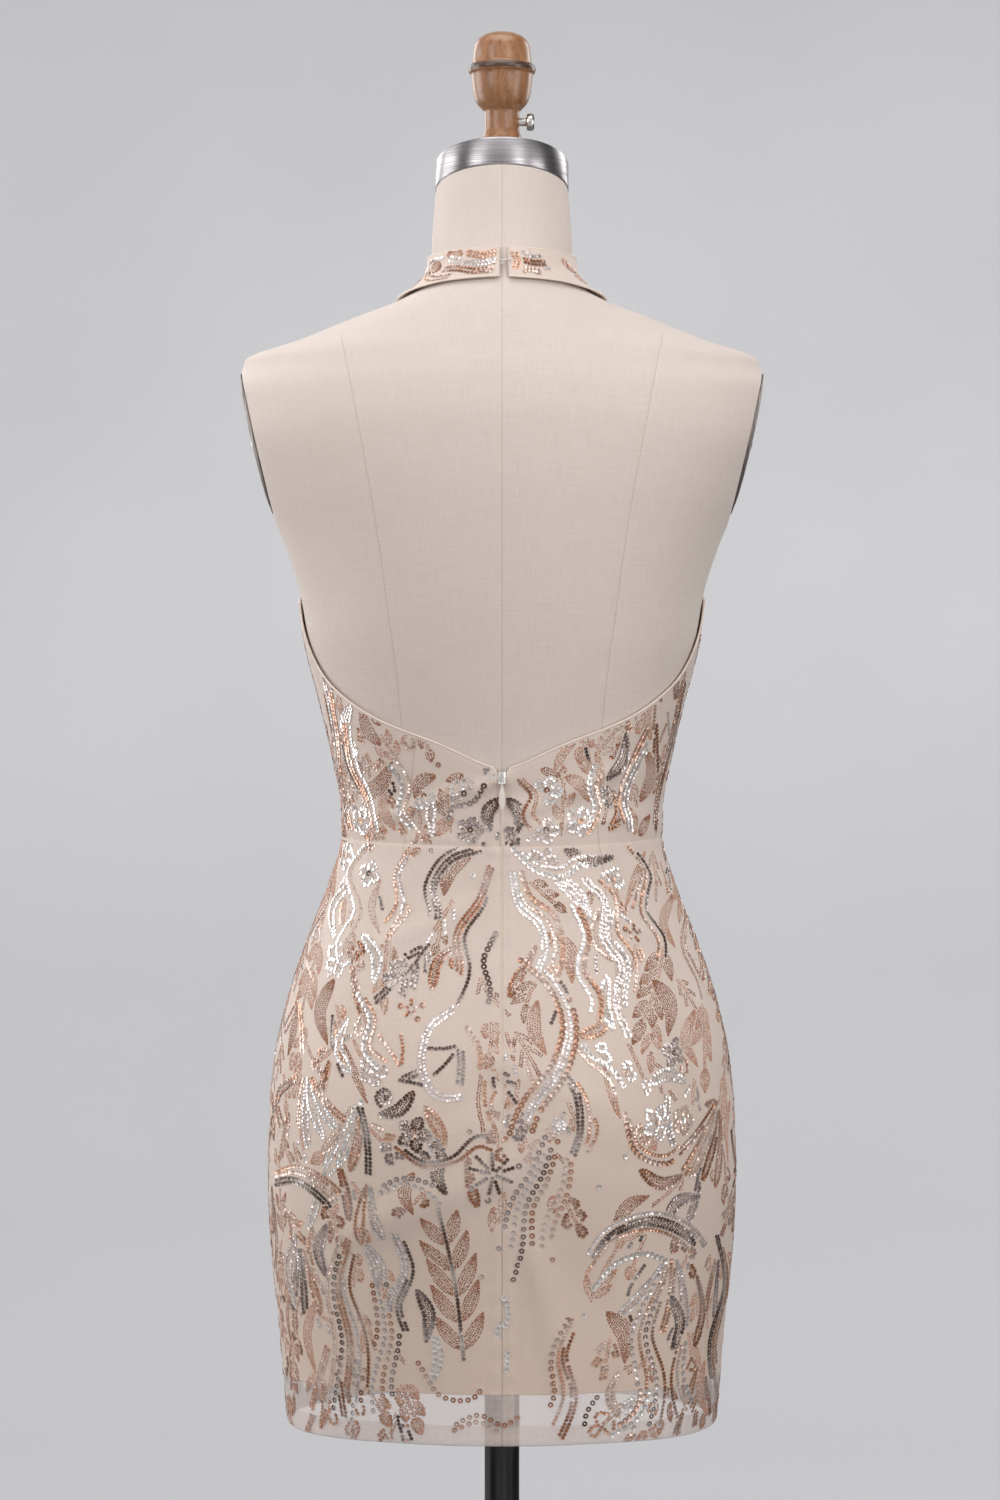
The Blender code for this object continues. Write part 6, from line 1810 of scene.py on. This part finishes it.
def lay_sequins():
    """Groups the sequins by cut piece: their places, directions and looks, in metres."""
    by_piece = {}
    for shape, rows in laid.items():
        data = np.concatenate(rows)
        u, v = data[:, 0], data[:, 1]
        is_band = np.arange(len(data)) >= band_start[shape]
        z = HEM_Z + v * MM
        angle = np.where(is_band, np.degrees(u * MM / BAND_RADIUS), angle_round(u, np.minimum(z, 1.455)))
        share = (v - BAND_FOOT) / BAND_TALL
        low, high = edge_height(BAND_LOW, angle), edge_height(BAND_HIGH, angle)
        on_band = ((u < BAND_GAP[0] - 2) | (u > BAND_GAP[1] + 2)) & (share > -0.1) & (share < 1.1)
        panel = np.where(is_band, np.where(on_band, "neckband", ""), panel_of(angle, z, v))
        z = np.where(is_band, low + (0.12 + 0.76 * share) * (high - low), z)
        ramp = np.clip((z - UNDERARM_Z) / 0.010, 0, 1) * (panel == "bodice_front")
        lift = np.where(np.char.startswith(panel, "skirt"), NET_LIFT + 0.8 * MM,
                        EASE + 1.5 * MM + ramp * (HALTER_EASE - EASE))
        lift = np.where(is_band, HALTER_EASE + 1.25 * MM, lift) + SEATS[shape][2] * MM
        normal = outward(angle, z)
        across = unit(skin(angle + 0.3, z) - skin(angle - 0.3, z))
        way = unit(data[:, 2:4])
        ahead = unit(across * way[:, :1] + np.cross(normal, across) * way[:, 1:])
        looks = np.c_[data[:, 4] * MM, data[:, 5:8], data[:, 8] + (0.28 if shape == "seed" else 0.0)]
        for name in np.unique(panel[panel != ""]):
            chosen = [values[panel == name] for values in (cloth(angle, z, lift), normal, ahead, looks)]
            by_piece.setdefault(str(name), []).append((shape, *chosen))
    return by_piece


def sequin_arrays(shape, at, normal, ahead, looks):
    """The points, faces, colours and gloss of one kind of sequin on one piece."""
    base_points, base_faces, shade = SHAPES[shape]
    tilt, lean, _ = SEATS[shape]
    count = len(at)
    wobble = chance.normal(0, math.radians(tilt), (count, 2))
    side = unit(np.cross(normal, ahead))
    normal = unit(normal + ahead * (wobble[:, :1] + math.radians(lean)) + side * wobble[:, 1:])
    ahead = unit(ahead - normal * np.sum(ahead * normal, axis=1, keepdims=True))
    side = np.cross(normal, ahead)
    frame_of = np.stack((ahead, side, normal), 1)
    points = at[:, None] + np.einsum("pk,nkc->npc", base_points, frame_of) * looks[:, None, :1]
    faces = base_faces[None] + (np.arange(count) * len(base_points))[:, None, None]
    # Painted shade from the shape darkens each colour; pale cups keep less of it.
    pale = looks[:, None, 1:4].mean(axis=2, keepdims=True) ** 0.8 * (shape == "cup")
    colours = np.clip(looks[:, None, 1:4] * (shade[None, :, None] * (1 - pale) + pale), 0, 1)
    return (points.reshape(-1, 3), faces.reshape(-1, base_faces.shape[1]), colours.reshape(-1, 3),
            np.repeat(looks[:, 4], len(base_points)))


# %% One mesh of sequins for each cut piece
def sequin_object(name, groups):
    made = [sequin_arrays(*group) for group in groups]
    first = np.cumsum([0] + [len(points) for points, *_ in made])
    faces = [f + start for (_, f, _, _), start in zip(made, first)]
    piece = mesh_from(name, np.concatenate([m[0] for m in made]), *faces)
    mesh = piece.data
    mesh.shade_flat()
    mesh.materials.append(glossy)
    mesh.materials.append(matt)
    is_seed = [np.full(len(f), int(group[0] == "seed")) for f, group in zip(faces, groups)]
    mesh.polygons.foreach_set("material_index", np.concatenate(is_seed).astype(np.int32))
    colours = np.concatenate([m[2] for m in made])
    # The tone attribute holds each sequin's colour with its painted highlights and shade.
    tone = mesh.attributes.new("tone", "FLOAT_COLOR", "POINT")
    tone.data.foreach_set("color", np.c_[colours, np.ones(len(colours))].astype(np.float32).ravel())
    gloss = mesh.attributes.new("gloss", "FLOAT", "POINT")
    gloss.data.foreach_set("value", np.concatenate([m[3] for m in made]).astype(np.float32))
    settle(piece, "dress_and_form", slot="net")
    triangles = sum(len(f) * (f.shape[1] - 2) for f in faces)
    print(name, {g[0]: len(g[1]) for g in groups}, triangles, "triangles")
    return piece


sequins = {name: sequin_object(name + "_sequins", groups) for name, groups in lay_sequins().items()}

# %% [markdown]
# ## The sheets as cut
# A sheet of cloth keeps its size. Its flat cut is listed: width and length of the piece and real area,
# without the seam allowances that nobody sees; these lists are unused, and each area as built is printed.

# %% The sheets as cut
for panel, (net_width, lining_width, net_area, lining_area) in {
    "back_right": (0.238, 0.238, 0.0945, 0.0825), "front": (0.470, 0.466, 0.1840, 0.1605),
    "back_left": (0.238, 0.238, 0.0945, 0.0825),
}.items():
    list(allowances[panel])
for panel, (flat, area, edges) in {
    "back_right": ((0.200, 0.176), 0.0161, [bound["back_right"]]),
    "front": ((0.470, 0.375), 0.1160, armhole_edges),
    "back_left": ((0.200, 0.176), 0.0161, [bound["back_left"]]),
}.items():
    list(edges)
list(band_edges)
for piece in [*skirt.values(), *bodice.values(), neckband]:
    print(piece.name, "has", round(sum(face.area for face in piece.data.polygons) / 2, 4), "square metres")

# %% [markdown]
# ## The studio
# A pale paper bowl is floor and backdrop in one. Broad lamps stand round it as softboxes, and the room
# itself is lit in soft upright bands, because steel and nickel show what stands round them.

# %% The studio
paper, t, s = finish("studio paper", 0.9)
place = t.add("TexCoord", out=3)
mottle = t.noise(place, 2.2, 5.0)
colour = t.mix(t.between(mottle, 0.35, 0.7), rgb(227, 227, 230), rgb(222, 222, 225))
# Painted shade: the paper darkens towards the floor.
low = t.between(t.add("SeparateXYZ", {0: place}, 2), 0.2, 1.4, 1.0, 0.0)
colour = t.mix(low, colour, rgb(204, 204, 207))
surfaced(t, s, colour, (mottle, 0.3, 0.7, 0.85, 0.95), t.noise(place, 260.0, 3.0), 0.0004, 0.5)
seen = t.add("NewGeometry", out=6)
link(t, t.sum("SUBTRACT", 1.0, seen), s["Alpha"])
bowl = [(0.0, 0.0), (1.2, 0.0), (1.6, 0.0), (1.9, 0.06), (2.15, 0.22), (2.3, 0.48), (2.35, 0.8),
        (2.36, 1.6), (2.36, 3.4)]
backdrop = spun("backdrop", bowl, 96, sharp=60)
only(backdrop)
edit("SELECT")
bpy.ops.mesh.normals_make_consistent(inside=True)
done()
dress_in(backdrop, paper)
backdrop.visible_diffuse = backdrop.visible_glossy = backdrop.visible_shadow = False

world = bpy.data.worlds.new("studio air")
bpy.context.scene.world = world
world.use_nodes = True
t = Tree(world.node_tree)
way = t.add("SeparateXYZ", {0: t.add("TexCoord")})
bearing = t.sum("ARCTAN2", way.node.outputs[1], way)
bands = t.add("ValToRGB", {0: t.between(bearing, -math.pi, math.pi)})
BANDS = [(0.0, 0.7), (0.006, 0.4), (0.028, 0.1), (0.117, 0.12), (0.156, 0.75), (0.236, 0.55), (0.317, 1.0),
         (0.331, 0.4), (0.5, 0.08), (0.64, 0.14), (0.75, 0.5), (0.9, 0.3), (0.964, 1.0), (1.0, 0.7)]
stops = bands.node.color_ramp.elements
for place, grey in BANDS:
    stop = stops[0] if place == 0 else stops[-1] if place == 1 else stops.new(place)
    stop.color = (grey, grey, grey, 1)
room = world.node_tree.nodes["Background"].inputs
room["Color"].default_value = (0.93, 0.92, 0.93, 1)
upward = t.between(way.node.outputs[2], -0.8, 0.5, 0.45, 1.14)
link(t, t.sum("MULTIPLY", bands, upward), room["Strength"])
bpy.context.scene.view_settings.view_transform = "Standard"


# Each softbox: its place, its width and height in metres, and its power in watts.
SOFTBOXES = {
    "key_left": ((-1.5, -1.6, 2.0), (0.9, 1.4), 14.5), "key_right": ((1.2, -2.0, 2.0), (0.7, 0.9), 11),
    "fill_right": ((1.8, -1.0, 1.2), (0.8, 1.4), 11.5), "top": ((0, -0.3, 2.9), (1.4, 1.2), 13.5),
    "side_left": ((-1.8, 0.4, 1.4), (1.0, 1.6), 16.5), "front_left": ((-1.2, 1.6, 1.9), (0.8, 1.4), 11),
    "front_right": ((1.4, 1.4, 1.9), (0.8, 1.4), 11),
}
for name, (place, size, power) in SOFTBOXES.items():
    lamp = bpy.data.lights.new(name, "AREA")
    lamp.shape, lamp.size, lamp.size_y, lamp.energy = "RECTANGLE", *size, power
    box = bpy.data.objects.new(name, lamp)
    bpy.context.scene.collection.objects.link(box)
    box.location = place
    box.rotation_euler = (Vector((0, 0, 1.0)) - Vector(place)).to_track_quat("-Z", "Y").to_euler()

# %% The form's body, selected last
only(body)
